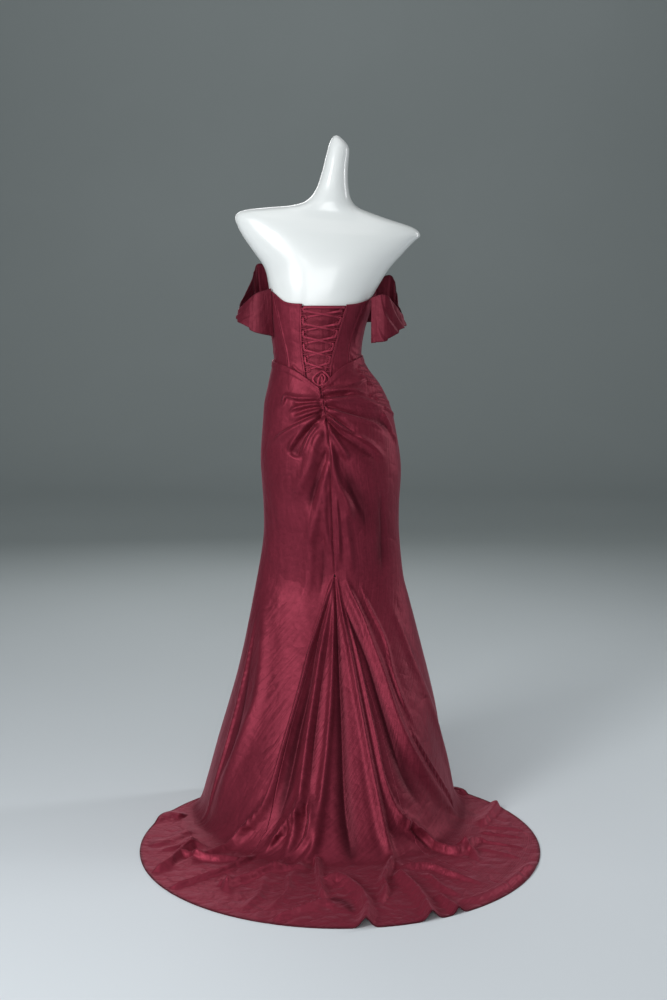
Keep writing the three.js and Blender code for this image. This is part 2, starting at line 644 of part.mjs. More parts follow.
// A narrow tape along one laced edge, with a row of cord loops fused to it
function makeLoopTape(name, side) {
  const place = (u, v, layer) => {
    const z = lerp(LACED_TOP + LOOP_HALF, LACED_BOTTOM - LOOP_HALF, v);
    const x = lacedEdge(side, z) + side * lerp(TAPE_INSET, TAPE_WIDTH, u);
    return onBack(x, z, LACED_LIFT + WALL + 3 * SEAM + layer * TAPE_THICK);
  };
  let solid = solidOf(wall("tape", 1, 9, place, SATIN));
  const section = [];
  for (let i = 0; i < LOOP_SIDES; i += 1) {
    const a = (i * 2 * Math.PI) / LOOP_SIDES;
    section.push([LOOP_CORD * Math.cos(a), LOOP_CORD * Math.sin(a)]);
  }
  for (let row = 0; row < LACED_ROWS; row += 1) {
    const z = lacedHeight(row);
    const edge = lacedEdge(side, z);
    const root = edge + side * LOOP_ROOT;
    const path = [];
    const add = (x, height) => path.push({ point: onBack(x, height, LOOP_HEIGHT), up: backUp(x, height) });
    add(root, z - LOOP_LEG);
    for (let i = 0; i <= LOOP_BENDS; i += 1) {
      const a = radians(lerp(-90, 90, i / LOOP_BENDS));
      const tip = LOOP_REACH - LOOP_HALF + LOOP_HALF * Math.cos(a);
      add(edge - side * tip, z + LOOP_LEG * Math.sin(a));
    }
    add(root, z + LOOP_LEG);
    const loop = loft("loop", sweepRings(path, section), path[0].point, path[path.length - 1].point, SATIN);
    solid = solid.add(solidOf(loop));
  }
  return meshOf(name, solid, SATIN);
}

// Height of the skirt's top edge
function skirtTop(angle) {
  const off = Math.abs(THREE.MathUtils.euclideanModulo(angle - CENTRE_BACK + 180, 360) - 180);
  const level = TOP_HEIGHT - TOP_TILT * Math.cos(radians(angle));
  return level - V_DEPTH * Math.exp(-((off / V_WIDTH) ** V_POWER));
}

// Distance from the body's axis to the round hem
function hemReach(angle) {
  const c = Math.cos(radians(angle));
  const s = Math.sin(radians(angle));
  const along = FOOT_X * c + BODY_Y * s;
  return -along + Math.sqrt(along ** 2 - FOOT_X ** 2 - BODY_Y ** 2 + HEM_RADIUS ** 2);
}

// The lesser of two distances, eased where they are close
function lesser(a, b) {
  const near = Math.max(EASE - Math.abs(a - b), 0) / EASE;
  return Math.min(a, b) - (near * near * EASE) / 4;
}

// Distance from the axis to the skirt's smooth inner face
function skirtReach(angle, z) {
  const cloth = lesser(reach(SKIRT, angle, z), hemReach(angle) - HEM_LEFT);
  if (z < FORM_LOW) return cloth;
  const loose = lerp(SKIRT_SEAT, SKIRT_LOOSE, smooth(skirtTop(angle) - z, 0, SEAT_DEPTH));
  return Math.max(cloth, bodiceReach(angle, z) + WALL + loose);
}

// The skirt's smooth inner face at an angle, at a share of the way from its top to its hem
function skirtBase(angle, share) {
  if (share <= FALL) {
    const z = lerp(skirtTop(angle), TURN_HEIGHT, share / FALL);
    return polar(angle, skirtReach(angle, z), z);
  }
  const foot = skirtReach(angle, 0);
  const hem = hemReach(angle);
  const flat = Math.min(foot + TURN_REACH, lerp(foot, hem, TURN_SHARE));
  if (share <= TURN) {
    const t = (share - FALL) / (TURN - FALL);
    const start = skirtReach(angle, TURN_HEIGHT);
    const distance = (1 - t) ** 2 * start + 2 * t * (1 - t) * foot + t ** 2 * flat;
    return polar(angle, distance, (1 - t) ** 2 * TURN_HEIGHT);
  }
  return polar(angle, lerp(flat, hem, (share - TURN) / (1 - TURN)), 0);
}

// The direction out of the smooth cloth
function skirtNormal(angle, share) {
  const shareStep = 0.004;
  const angleStep = 0.5;
  const low = Math.max(share - shareStep, 0);
  const high = Math.min(share + shareStep, 1);
  const down = skirtBase(angle, high).sub(skirtBase(angle, low));
  const round = skirtBase(angle + angleStep, share).sub(skirtBase(angle - angleStep, share));
  return down.cross(round).normalize();
}

// How far down the cloth an angle and a height lie
function shareAt(angle, z) {
  const top = skirtTop(angle);
  return (FALL * (top - z)) / (top - TURN_HEIGHT);
}

// A fold's line as points on the smooth cloth, along a curve through its three places
function foldLine({ from, by, to }, shareOf) {
  const curve = new THREE.QuadraticBezierCurve(
    new THREE.Vector2(from[0], shareOf(...from)),
    new THREE.Vector2(by[0], shareOf(...by)),
    new THREE.Vector2(to[0], shareOf(...to)),
  );
  return curve.getPoints(FOLD_STEPS).map((spot) => skirtBase(spot.x, spot.y));
}

const trainShare = (angle, way) => lerp(TURN, 1, way);
const opensHem = (fold) => fold.to[1] === 1;
const LINES = [
  ...HIP_FOLDS.map((f) => ({ ...f, start: HIP_START, opens: false, line: foldLine(f, shareAt) })),
  ...TRAIN_FOLDS.map((f) => ({ ...f, start: 0, opens: opensHem(f), line: foldLine(f, trainShare) })),
];

// Nearest place on a fold's line: how far off it is, and how far along
function nearest(line, point) {
  let best = { distance: Infinity, along: 0 };
  const segment = new THREE.Line3();
  const close = new THREE.Vector3();
  for (let i = 0; i < line.length - 1; i += 1) {
    segment.set(line[i], line[i + 1]);
    const t = segment.closestPointToPointParameter(point, true);
    const distance = segment.at(t, close).distanceTo(point);
    if (distance < best.distance) best = { distance, along: (i + t) / (line.length - 1) };
  }
  return best;
}

function lineFolds(point) {
  let height = 0;
  for (const fold of LINES) {
    const { distance, along } = nearest(fold.line, point);
    if (distance > FOLD_REACH * fold.width) continue;
    const grown = lerp(fold.start, 1, smooth(along, 0, FADE_IN));
    const left = fold.opens ? 1 : 1 - smooth(along, FADE_OUT, 1);
    height += fold.high * grown * left * Math.exp(-((distance / fold.width) ** 2));
  }
  return height;
}

// How far past the turn's start a share is, as a share of the rest
function pastFall(share) {
  return Math.max(share - FALL, 0) / (1 - FALL);
}

function fanAngle(fold, z, share) {
  const spread = fold.from > APEX_FOLD ? APEX_SPREAD : SIDE_SPREAD;
  const stations = [
    { at: 0, angle: lerp(CENTRE_BACK, fold.knee, spread) },
    { at: fold.from - KNEE, angle: fold.knee },
    { at: fold.from - CALF, angle: fold.calf },
    { at: fold.from - FLOOR_LEVEL, angle: fold.floor },
    { at: fold.from + TRAIN_RUN, angle: fold.train },
    { at: fold.from + HEM_RUN, angle: fold.hem },
  ];
  return column(stations, "at", "angle", fold.from - z + pastFall(share) * HEM_RUN);
}

function fanFolds(angle, share, point) {
  if (point.z > APEX_HEIGHT) return 0;
  let height = 0;
  const past = pastFall(share);
  const distance = Math.hypot(point.x - axisX(point.z), point.y - BODY_Y);
  for (const fold of FAN) {
    if (point.z > fold.from) continue;
    const grown = THREE.MathUtils.clamp((fold.from - point.z) / (fold.from - FLOOR_LEVEL), 0, 1);
    const width = fold.width * lerp(FAN_NARROW, 1, grown) * (1 + FAN_WIDEN * past);
    const off = radians(angle - fanAngle(fold, point.z, share)) * distance;
    const rise = Math.sqrt(grown) * (1 - smooth(past, FAN_FADE, 1));
    height += fold.high * rise * Math.exp(-((off / width) ** 2));
  }
  return height;
}

function band(angle, share) {
  const down = (skirtTop(angle) - skirtBase(angle, share).z) / BAND_WIDTH;
  return BAND_HEIGHT * Math.exp(-(down ** 2));
}

function skirtPoint(angle, share, side) {
  const base = skirtBase(angle, share);
  const normal = skirtNormal(angle, share);
  const height = lineFolds(base) + fanFolds(angle, share, base);
  const point = base.addScaledVector(normal, height + side * (WALL + band(angle, share)));
  if (share >= TURN && height < FLAT) point.z = side * WALL;
  return point;
}

function godetHalf(share) {
  const at = share > FALL ? pastFall(share) * GODET_HEM : skirtBase(CENTRE_BACK, share).z;
  return column(GODET, "z", "half", at);
}

// Half the gap at a skirt seam, as an angle
function skirtGap(angle, share) {
  const base = skirtBase(angle, share);
  return seamAngle(Math.hypot(base.x - axisX(base.z), base.y - BODY_Y));
}

// Shares of the way down for every row
const SHARES = [0];
for (const { from, to, rows } of ROW_BANDS) {
  for (let i = 1; i <= rows; i += 1) SHARES.push(lerp(from, to, i / rows));
}
const rowShare = (v) => SHARES[Math.round(v * (SHARES.length - 1))];

// Below the apex the godet takes the middle, and the back piece ends at its seam
function makeSkirtBack(name, from, side) {
  const place = (u, v, layer) => {
    const share = rowShare(v);
    const open = skirtBase(CENTRE_BACK, share).z < APEX_HEIGHT;
    const seam = open ? CENTRE_BACK - side * godetHalf(share) : CENTRE_BACK;
    const gap = skirtGap(from, share);
    const seamGap = open ? gap * SLANT_GAP : skirtGap(seam, share);
    return skirtPoint(lerp(from + side * gap, seam - side * seamGap, u), share, layer);
  };
  return wall(name, COLUMNS.back, SHARES.length - 1, place, SATIN);
}

function makeGodet() {
  const start = SHARES.findIndex((share) => skirtBase(CENTRE_BACK, share).z < APEX_HEIGHT);
  const rows = SHARES.length - 1 - start;
  const place = (u, v, layer) => {
    const share = SHARES[start + Math.round(v * rows)];
    const half = godetHalf(share) - skirtGap(CENTRE_BACK, share) * SLANT_GAP;
    return skirtPoint(lerp(CENTRE_BACK - half, CENTRE_BACK + half, u), share, layer);
  };
  return wall("godet", COLUMNS.godet, rows, place, SATIN);
}

function makeSkirtFront() {
  const place = (u, v, layer) => {
    const share = rowShare(v);
    const gap = skirtGap(180, share);
    return skirtPoint(lerp(180 + gap, 360 - gap, u), share, layer);
  };
  return wall("skirt_front", COLUMNS.front, SHARES.length - 1, place, SATIN);
}

// A point of a sleeve's smooth middle, t of the way from its back end to its front end
function sleevePath({ back, front, stations }, t, v) {
  const spot = t * (stations.length + 1);
  const through = (rows, key) => {
    const stops = rows.map((row, at) => ({ at, value: row[key] }));
    return column(stops, "at", "value", spot);
  };
  const levels = [back, ...stations, front];
  const z = lerp(through(levels, "top"), through(levels, "bottom"), v);
  const [first, last] = [back, front].map((end) => {
    const place = bodicePoint(end.angle, lerp(z, end.top, end.hang), WALL + SLEEVE_END_GAP);
    return place.setZ(z);
  });
  const places = [first, ...stations, last];
  return new THREE.Vector3(through(places, "x"), through(places, "y"), z);
}

function makeSleeve(sleeve) {
  const step = 0.02;
  const up = new THREE.Vector3(0, 0, 1);
  const place = (u, v, layer) => {
    const before = sleevePath(sleeve, Math.max(u - step, 0), v);
    const after = sleevePath(sleeve, Math.min(u + step, 1), v);
    const out = after.sub(before).cross(up).normalize();
    const wave = Math.cos(2 * Math.PI * (sleeve.pleats * u + SLEEVE_PLEAT_SLANT * v));
    const lift = Math.sin(Math.PI * u) * (SLEEVE_PLEAT_HEIGHT * wave + SLEEVE_FLARE * v);
    return sleevePath(sleeve, u, v).addScaledVector(out, sleeve.facing * (lift + (layer - 0.5) * WALL));
  };
  return wall(sleeve.name, COLUMNS.sleeve, SLEEVE_ROWS, place, SATIN);
}

const dress = new THREE.Group();
dress.add(makeForm(), ...makeStand());
dress.add(...BODICE_PANELS.map(makeBodicePanel), makeModestyPanel());
dress.add(makeLace("lace_a", 1, true), makeLace("lace_b", -1, false));
dress.add(makeLoopTape("loop_tape_l", 1), makeLoopTape("loop_tape_r", -1));
dress.add(...SLEEVES.map(makeSleeve));
dress.add(makeSkirtFront());
dress.add(makeSkirtBack("skirt_back_l", 0, 1), makeSkirtBack("skirt_back_r", 180, -1));
dress.add(makeGodet());

export default dress;
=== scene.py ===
"""A laced satin prom dress with a round train, on a limbless dress form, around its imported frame.

Sizes are in millimetres unless a name says otherwise, and +Z is up. The laced back faces +Y and the
wearer's left is towards +X. Angles are in degrees round the body's axis, with the centre back at 90.
"""

import logging
import math
from collections.abc import Callable, Sequence
from dataclasses import dataclass
from enum import Enum

import bmesh
import bpy
import numpy as np
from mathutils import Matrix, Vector


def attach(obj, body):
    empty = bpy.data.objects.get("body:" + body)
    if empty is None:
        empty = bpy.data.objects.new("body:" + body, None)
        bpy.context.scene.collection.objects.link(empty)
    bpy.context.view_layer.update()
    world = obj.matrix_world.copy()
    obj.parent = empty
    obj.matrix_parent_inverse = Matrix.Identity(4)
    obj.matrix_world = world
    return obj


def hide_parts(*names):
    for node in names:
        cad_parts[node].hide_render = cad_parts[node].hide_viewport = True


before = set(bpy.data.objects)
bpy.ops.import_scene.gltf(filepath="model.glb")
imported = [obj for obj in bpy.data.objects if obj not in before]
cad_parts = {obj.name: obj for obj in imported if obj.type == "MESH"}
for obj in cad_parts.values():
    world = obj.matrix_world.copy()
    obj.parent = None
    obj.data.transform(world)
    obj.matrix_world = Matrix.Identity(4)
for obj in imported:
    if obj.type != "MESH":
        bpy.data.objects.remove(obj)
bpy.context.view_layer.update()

Field = np.ndarray
Place = Callable[[Field, Field], tuple[Field, Field]]

MM = 0.001
CENTRE_BACK = 90.0
LOG = logging.getLogger("prom_dress")


def smooth(value: Field, low: float, high: float) -> Field:
    """Rises smoothly from 0 at low to 1 at high."""
    t = np.clip((value - low) / (high - low), 0, 1)
    return t * t * (3 - 2 * t)


def mix(a: Field, b: Field, share: Field) -> Field:
    """The value that lies that share of the way from a to b."""
    return a + (b - a) * share


def unit(vectors: Field) -> Field:
    """Vectors brought to length 1."""
    return vectors / np.maximum(np.linalg.norm(vectors, axis=-1, keepdims=True), 1e-9)


def hermite(t: Field, step: Field, start: Field, end: Field, slope: Field, slope_end: Field) -> Field:
    """A cubic from start to end that leaves and arrives with the two slopes."""
    t2, t3 = t * t, t * t * t
    leaving = (2 * t3 - 3 * t2 + 1) * start + (t3 - 2 * t2 + t) * step * slope
    return leaving + (3 * t2 - 2 * t3) * end + (t3 - t2) * step * slope_end


def through(stations: Sequence[Field], spot: Field) -> Field:
    """A smooth curve through evenly spaced stations.

    Args:
        stations: one array a station, all of one shape or single numbers.
        spot: where on the curve, with station 0 at 0 and station 1 at 1.

    Returns:
        The curve's value at each spot.
    """
    values = np.stack([np.broadcast_to(station, spot.shape) for station in stations])
    slopes = np.gradient(values, axis=0)
    index = np.clip(spot.astype(int), 0, len(values) - 2)

    def pick(rows: Field, offset: int) -> Field:
        """The row that each spot starts from, or the next one."""
        return np.take_along_axis(rows, (index + offset)[None], 0)[0]

    ends = pick(values, 0), pick(values, 1), pick(slopes, 0), pick(slopes, 1)
    return hermite(spot - index, 1.0, *ends)


class Table:
    """Sizes in rows under named columns, read as smooth curves over the first column."""

    def __init__(self, names: str, *rows: Sequence[float]) -> None:
        """Keeps the rows under their names.

        Args:
            names: the columns' names, with a space between them.
            rows: the numbers of each row.
        """
        self.names = names.split()
        self.rows = np.array(rows, float)

    def curve(self, name: str, at: Field) -> Field:
        """The named column's value at places on the first column."""
        keys, values = self.rows[:, 0], self.rows[:, self.names.index(name)]
        slopes = np.empty_like(values)
        slopes[1:-1] = (values[2:] - values[:-2]) / (keys[2:] - keys[:-2])
        slopes[0] = (values[1] - values[0]) / (keys[1] - keys[0])
        slopes[-1] = (values[-1] - values[-2]) / (keys[-1] - keys[-2])
        x = np.clip(at, keys[0], keys[-1])
        i = np.clip(np.searchsorted(keys, x, side="right") - 1, 0, len(keys) - 2)
        step = keys[i + 1] - keys[i]
        return hermite((x - keys[i]) / step, step, values[i], values[i + 1], slopes[i], slopes[i + 1])


AXIS = Table(
    "z x",
    (0, 3), (250, 7), (590, 12), (765, 19), (866, 22), (965, 28), (1015, 36), (1064, 46),
    (1110, 52), (1138, 54), (1200, 52), (1270, 45), (1349, 31), (1435, 30), (1507, 22),
    (1549, 16), (1606, 7), (1634, 3), (1662, 8),
)
FORM = Table(
    "z left right back front slope",
    (772, 96, 96, 72, 64, 0),
    (790, 138, 138, 98, 88, 0),
    (822, 158, 158, 112, 99, 0),
    (866, 164, 164, 121, 106, 0),
    (941, 157, 158, 117, 104, 0),
    (1015, 141, 149, 105, 98, 0),
    (1064, 121, 133, 94, 92, 0),
    (1110, 106, 110, 86, 86, 0),
    (1138, 102, 102, 83, 84, 0),
    (1200, 112, 108, 86, 96, 0),
    (1240, 119, 117, 89, 111, 0),
    (1270, 124, 121, 91, 112, 0),
    (1306, 135, 133, 92, 98, 0),
    (1349, 153, 152, 90, 84, 0.01),
    (1392, 186, 186, 84, 72, 0.03),
    (1426, 212, 212, 74, 62, 0.06),
    (1450, 224, 224, 62, 52, 0.1),
    (1466, 206, 206, 54, 46, 0.1),
    (1480, 150, 138, 50, 43, 0.09),
    (1493, 92, 78, 50, 43, 0.06),
    (1507, 60, 54, 50, 42, 0.03),
    (1535, 40, 40, 44, 38, 0),
    (1578, 31, 31, 40, 34, 0),
    (1634, 25, 25, 32, 28, 0),
    (1652, 16, 16, 20, 18, 0),
    (1662, 6, 6, 8, 7, 0),
)
SKIRT = Table(
    "z left right back front",
    (0, 350, 300, 416, 166),
    (40, 339, 290, 390, 158),
    (93, 323, 277, 360, 146),
    (172, 300, 262, 318, 132),
    (251, 275, 250, 275, 121),
    (330, 251, 233, 230, 113),
    (408, 231, 214, 186, 107),
    (485, 214, 195, 142, 103),
    (537, 203, 182, 116, 101),
    (588, 192, 170, 102, 100),
    (690, 172, 163, 110, 104),
    (765, 168, 165, 122, 110),
    (866, 170, 172, 130, 114),
    (965, 158, 163, 123, 110),
    (1015, 144, 158, 112, 104),
    (1064, 126, 144, 100, 97),
    (1110, 112, 116, 90, 90),
    (1150, 103, 103, 84, 85),
)
NECKLINE = Table(
    "angle z",
    (-90, 1288), (-62, 1312), (-20, 1300), (18, 1293), (40, 1269), (64, 1264),
    (128, 1262), (155, 1270), (178, 1286), (202, 1300), (242, 1312), (270, 1288),
)
BODICE_SEAMS = Table(
    "z princess_l laced_l laced_r princess_r",
    (1035, 47, 74, 99, 136),
    (1105, 45, 71, 107, 137),
    (1180, 37, 67, 118, 142),
    (1300, 20, 64, 129, 158),
)
GODET = Table(
    "z half", (-200, 34), (0, 27), (300, 22), (480, 14), (580, 4), (606, 1.2),
)


@dataclass(frozen=True)
class Figure:
    """The figure that the dress is cut for: rounded sections about an axis that leans and sways."""

    axis_y: float = -294
    squareness: float = 2.15
    bodice_gap: float = 2
    laced_lift: float = 3.2
    laced_from: tuple[float, float] = (42, 54)
    laced_to: tuple[float, float] = (139, 151)

    def axis(self, z: Field) -> Field:
        """The axis's place along X at a height."""
        return AXIS.curve("x", z)

    def reach(self, sizes: Table, angle: Field, z: Field) -> Field:
        """Distance from the axis to a section's edge."""
        c, s = np.cos(np.radians(angle)), np.sin(np.radians(angle))
        across = np.where(c > 0, sizes.curve("left", z), sizes.curve("right", z))
        along = np.where(s > 0, sizes.curve("back", z), sizes.curve("front", z))
        power = self.squareness
        return (np.abs(c / across) ** power + np.abs(s / along) ** power) ** (-1 / power)

    def polar(self, angle: Field, distance: Field, z: Field) -> Field:
        """Points at a distance from the axis."""
        a = np.radians(angle)
        parts = self.axis(z) + distance * np.cos(a), self.axis_y + distance * np.sin(a), z
        return np.stack(np.broadcast_arrays(*parts), axis=-1)

    def bodice_reach(self, angle: Field, z: Field) -> Field:
        """Distance from the axis to the bodice's inner face, which lifts over the panel at the lacing."""
        laced = smooth(angle, *self.laced_from) * (1 - smooth(angle, *self.laced_to))
        return self.reach(FORM, angle, z) + mix(self.bodice_gap, self.laced_lift, laced)

    def back_angle(self, x: Field, z: Field) -> Field:
        """The angle of a place on the back that is given across and up."""
        dx = x - self.axis(z)
        across = np.where(dx > 0, FORM.curve("left", z), FORM.curve("right", z))
        power = self.squareness
        y = FORM.curve("back", z) * (1 - np.abs(dx / across) ** power) ** (1 / power)
        return np.degrees(np.arctan2(y, dx))

    def on_back(self, x: Field, z: Field, lift: Field) -> Field:
        """Points over the form's back."""
        angle = self.back_angle(x, z)
        return self.polar(angle, self.reach(FORM, angle, z) + lift, z)

    def laced_edge(self, side: int, z: Field) -> Field:
        """Where a laced edge is across, on the wearer's left for side 1 and right for side -1."""
        angle = BODICE_SEAMS.curve("laced_l" if side > 0 else "laced_r", z)
        return self.polar(angle, self.reach(FORM, angle, z), z)[..., 0]


FIGURE = Figure()


class Profile(Enum):
    """How a fold is shaped across its line."""

    RIDGE = "round ridge"
    CREASE = "sharp valley"
    LAP_LEFT = "ridge that drops steeply on the left of its line, seen from outside"
    LAP_RIGHT = "ridge that drops steeply on the right of its line, seen from outside"


@dataclass(frozen=True)
class Fold:
    """A fold along a smooth line on the cloth.

    Each place has an angle and a level. A level is a height over the floor, or, below nothing, how
    many hundredths of the way from the skirt's foot to its hem.
    """

    places: tuple[tuple[float, float], ...]
    wide: tuple[float, float]
    high: tuple[float, float]
    profile: Profile = Profile.RIDGE
    start: float = 0.12
    end: float = 0.35

    def relief(self, line: Field, points: Field, normals: Field, broad: float = 1.0) -> Field:
        """How far the fold raises the cloth.

        Args:
            line: the fold's line on the smooth cloth.
            points: points of the smooth cloth.
            normals: the cloth's outward directions there.
            broad: how many times wider than written it is.

        Returns:
            The height at each point.
        """
        far = 3.2 * broad * max(self.wide)
        low, top = line.min(0) - far, line.max(0) + far
        near = np.nonzero(((points > low) & (points < top)).all(-1))[0]
        height = np.zeros(len(points))
        if not len(near):
            return height
        here = points[near]
        runs = np.diff(line, axis=0)
        offset = here[:, None] - line[:-1]
        t = np.clip((offset * runs).sum(-1) / (runs * runs).sum(-1), 0, 1)
        gaps = offset - t[..., None] * runs
        distance = np.linalg.norm(gaps, axis=-1)
        k = distance.argmin(1)
        rows = np.arange(len(near))
        along = (k + t[rows, k]) / len(runs)
        left = (np.cross(normals[near], unit(runs[k])) * gaps[rows, k]).sum(-1)
        off = distance[rows, k] / mix(*self.wide, along) / broad
        size = mix(*self.high, along)
        if self.start > 0:
            size = size * smooth(along, -0.02, self.start)
        if self.end > 0:
            size = size * (1 - smooth(along, 1 - self.end, 1))
        match self.profile:
            case Profile.RIDGE:
                shape = np.exp(-(off**2))
            case Profile.CREASE:
                shape = -np.exp(-np.sqrt(off**2 + 0.02)) * (1 - smooth(off, 2.2, 3.2))
            case Profile.LAP_LEFT:
                shape = np.exp(-((off * np.where(left > 0, 2.6, 0.9)) ** 2))
            case _:
                shape = np.exp(-((off * np.where(left < 0, 2.6, 0.9)) ** 2))
        height[near] = size * shape
        return height


def fold_line(places: Sequence[tuple[float, float]], step: float = 0.12) -> tuple[Field, Field]:
    """Angles and levels close together along a fold's places."""
    spots = np.arange(0, len(places) - 1 + step / 2, step)
    return through([p[0] for p in places], spots), through([p[1] for p in places], spots)


LAP_L, LAP_R, CREASE = Profile.LAP_LEFT, Profile.LAP_RIGHT, Profile.CREASE

# Folds that run from the gathered centre-back seam round the wearer's left hip
LEFT_HIP = (
    Fold(((87, 1038), (61, 1037), (47, 1041), (43, 1028), (36, 1009)), (5, 7), (6, 4), LAP_L),
    Fold(((89, 1031), (66, 1029), (50, 1029)), (4, 6), (6, 4), CREASE, start=0.03),
    Fold(((86, 1024), (70, 1021), (56, 1013), (49, 1003)), (5, 5), (6, 4), LAP_L),
    Fold(((89, 1020), (66, 1011), (52, 997)), (4, 5), (7, 5), CREASE, start=0.03),
    Fold(((87, 1013), (68, 1001), (49, 986)), (5, 7), (6, 4)),
    Fold(((89, 1011), (66, 991), (44, 965), (26, 934)), (4, 8), (9, 5), CREASE, start=0.03),
    Fold(((84, 996), (66, 983), (44, 956), (22, 914)), (7, 12), (6, 6)),
    Fold(((89, 1004), (72, 971), (58, 926), (52, 898)), (5, 10), (10, 13), CREASE, start=0.03, end=0.16),
    Fold(((85, 996), (65, 969), (51, 926), (49, 905)), (6, 8), (4, 6)),
    Fold(((80, 980), (69, 950), (64, 922), (57, 896)), (6, 7), (5, 6)),
    Fold(((84, 965), (74, 927), (65, 861), (45, 780)), (8, 20), (4, 7)),
    Fold(((88, 925), (81, 876), (72, 816), (64, 738), (60, 650)), (5, 20), (7, 8), CREASE, end=0.6),
    Fold(((66, 800), (63, 700), (57, 600), (51, 510)), (10, 17), (2, 5)),
    Fold(((79, 720), (76, 630), (70, 540)), (6, 11), (2, 4), CREASE),
    Fold(((88, 890), (80, 820), (69, 735), (56, 670)), (8, 18), (5, 8)),
    Fold(((86, 830), (82, 760), (83, 700), (88, 640)), (7, 9), (3, 5)),
    Fold(((-5, 1066), (-24, 1057), (-48, 1066)), (8, 10), (1, 4)),
    Fold(((-6, 994), (-28, 972), (-60, 980)), (9, 12), (1, 4)),
    Fold(((-8, 930), (-20, 880), (-26, 800)), (9, 16), (2, 3)),
)

# The same round the right hip, with the small pleats at the side
RIGHT_HIP = (
    Fold(((91, 1060), (111, 1069), (131, 1072)), (4, 5), (6, 3), CREASE, start=0.03),
    Fold(((92, 1055), (114, 1064), (140, 1075), (165, 1094)), (6, 9), (5, 4), LAP_R),
    Fold(((93, 1050), (114, 1056), (129, 1055), (148, 1041)), (5, 7), (6, 5), LAP_R),
    Fold(((91, 1042), (112, 1044), (128, 1048)), (4, 6), (9, 5), CREASE, start=0.03),
    Fold(((93, 1034), (110, 1036), (131, 1035), (150, 1018), (172, 1006)), (7, 9), (6, 4)),
    Fold(((91, 1024), (115, 1005), (136, 989), (153, 970), (168, 940)), (5, 9), (9, 9), CREASE, start=0.03),
    Fold(((95, 1012), (117, 998), (138, 981), (155, 957)), (6, 8), (5, 6)),
    Fold(((90, 1007), (102, 987), (117, 957), (124, 944)), (4, 5), (8, 5), CREASE, start=0.03),
    Fold(((91, 998), (104, 971), (119, 950), (135, 921), (149, 882)), (5, 8), (6, 5), LAP_R),
    Fold(((90, 990), (104, 955), (124, 920), (142, 880)), (4, 9), (7, 5), CREASE, start=0.03),
    Fold(((91, 970), (103, 922), (110, 890)), (5, 8), (4, 4)),
    Fold(((91, 935), (96, 847), (107, 790), (113, 730)), (6, 15), (5, 8)),
    Fold(((97, 920), (112, 830), (126, 755), (134, 670)), (8, 26), (6, 7), CREASE, end=0.6),
    Fold(((103, 770), (109, 690), (113, 600)), (7, 12), (2, 4)),
    Fold(((95, 810), (97, 710), (96, 625)), (4, 8), (2, 4)),
    Fold(((142, 820), (146, 700), (148, 590)), (12, 18), (2, 5), CREASE),
    Fold(((148, 1110), (160, 1106), (172, 1098)), (3.5, 4), (3.2, 1.6), LAP_R),
    Fold(((144, 1100), (158, 1094), (172, 1084)), (3.5, 4), (3.2, 1.6), LAP_R),
    Fold(((146, 1087), (159, 1077), (174, 1068)), (4, 5), (3.2, 1.6), LAP_R),
    Fold(((150, 1071), (163, 1061), (176, 1050)), (4, 5), (3.4, 1.8), LAP_R),
    Fold(((145, 1042), (158, 1046), (170, 1040)), (4, 5), (3, 1.8), LAP_L),
    Fold(((150, 1034), (164, 1028), (178, 1018)), (5, 6), (3.4, 1.6), LAP_R),
    Fold(((156, 1012), (168, 1000), (182, 984)), (5, 7), (3, 1.6), LAP_R),
    Fold(((152, 1004), (161, 956), (168, 910)), (6, 10), (4, 3)),
    Fold(((188, 990), (198, 968), (212, 950)), (8, 10), (3, 3)),
)

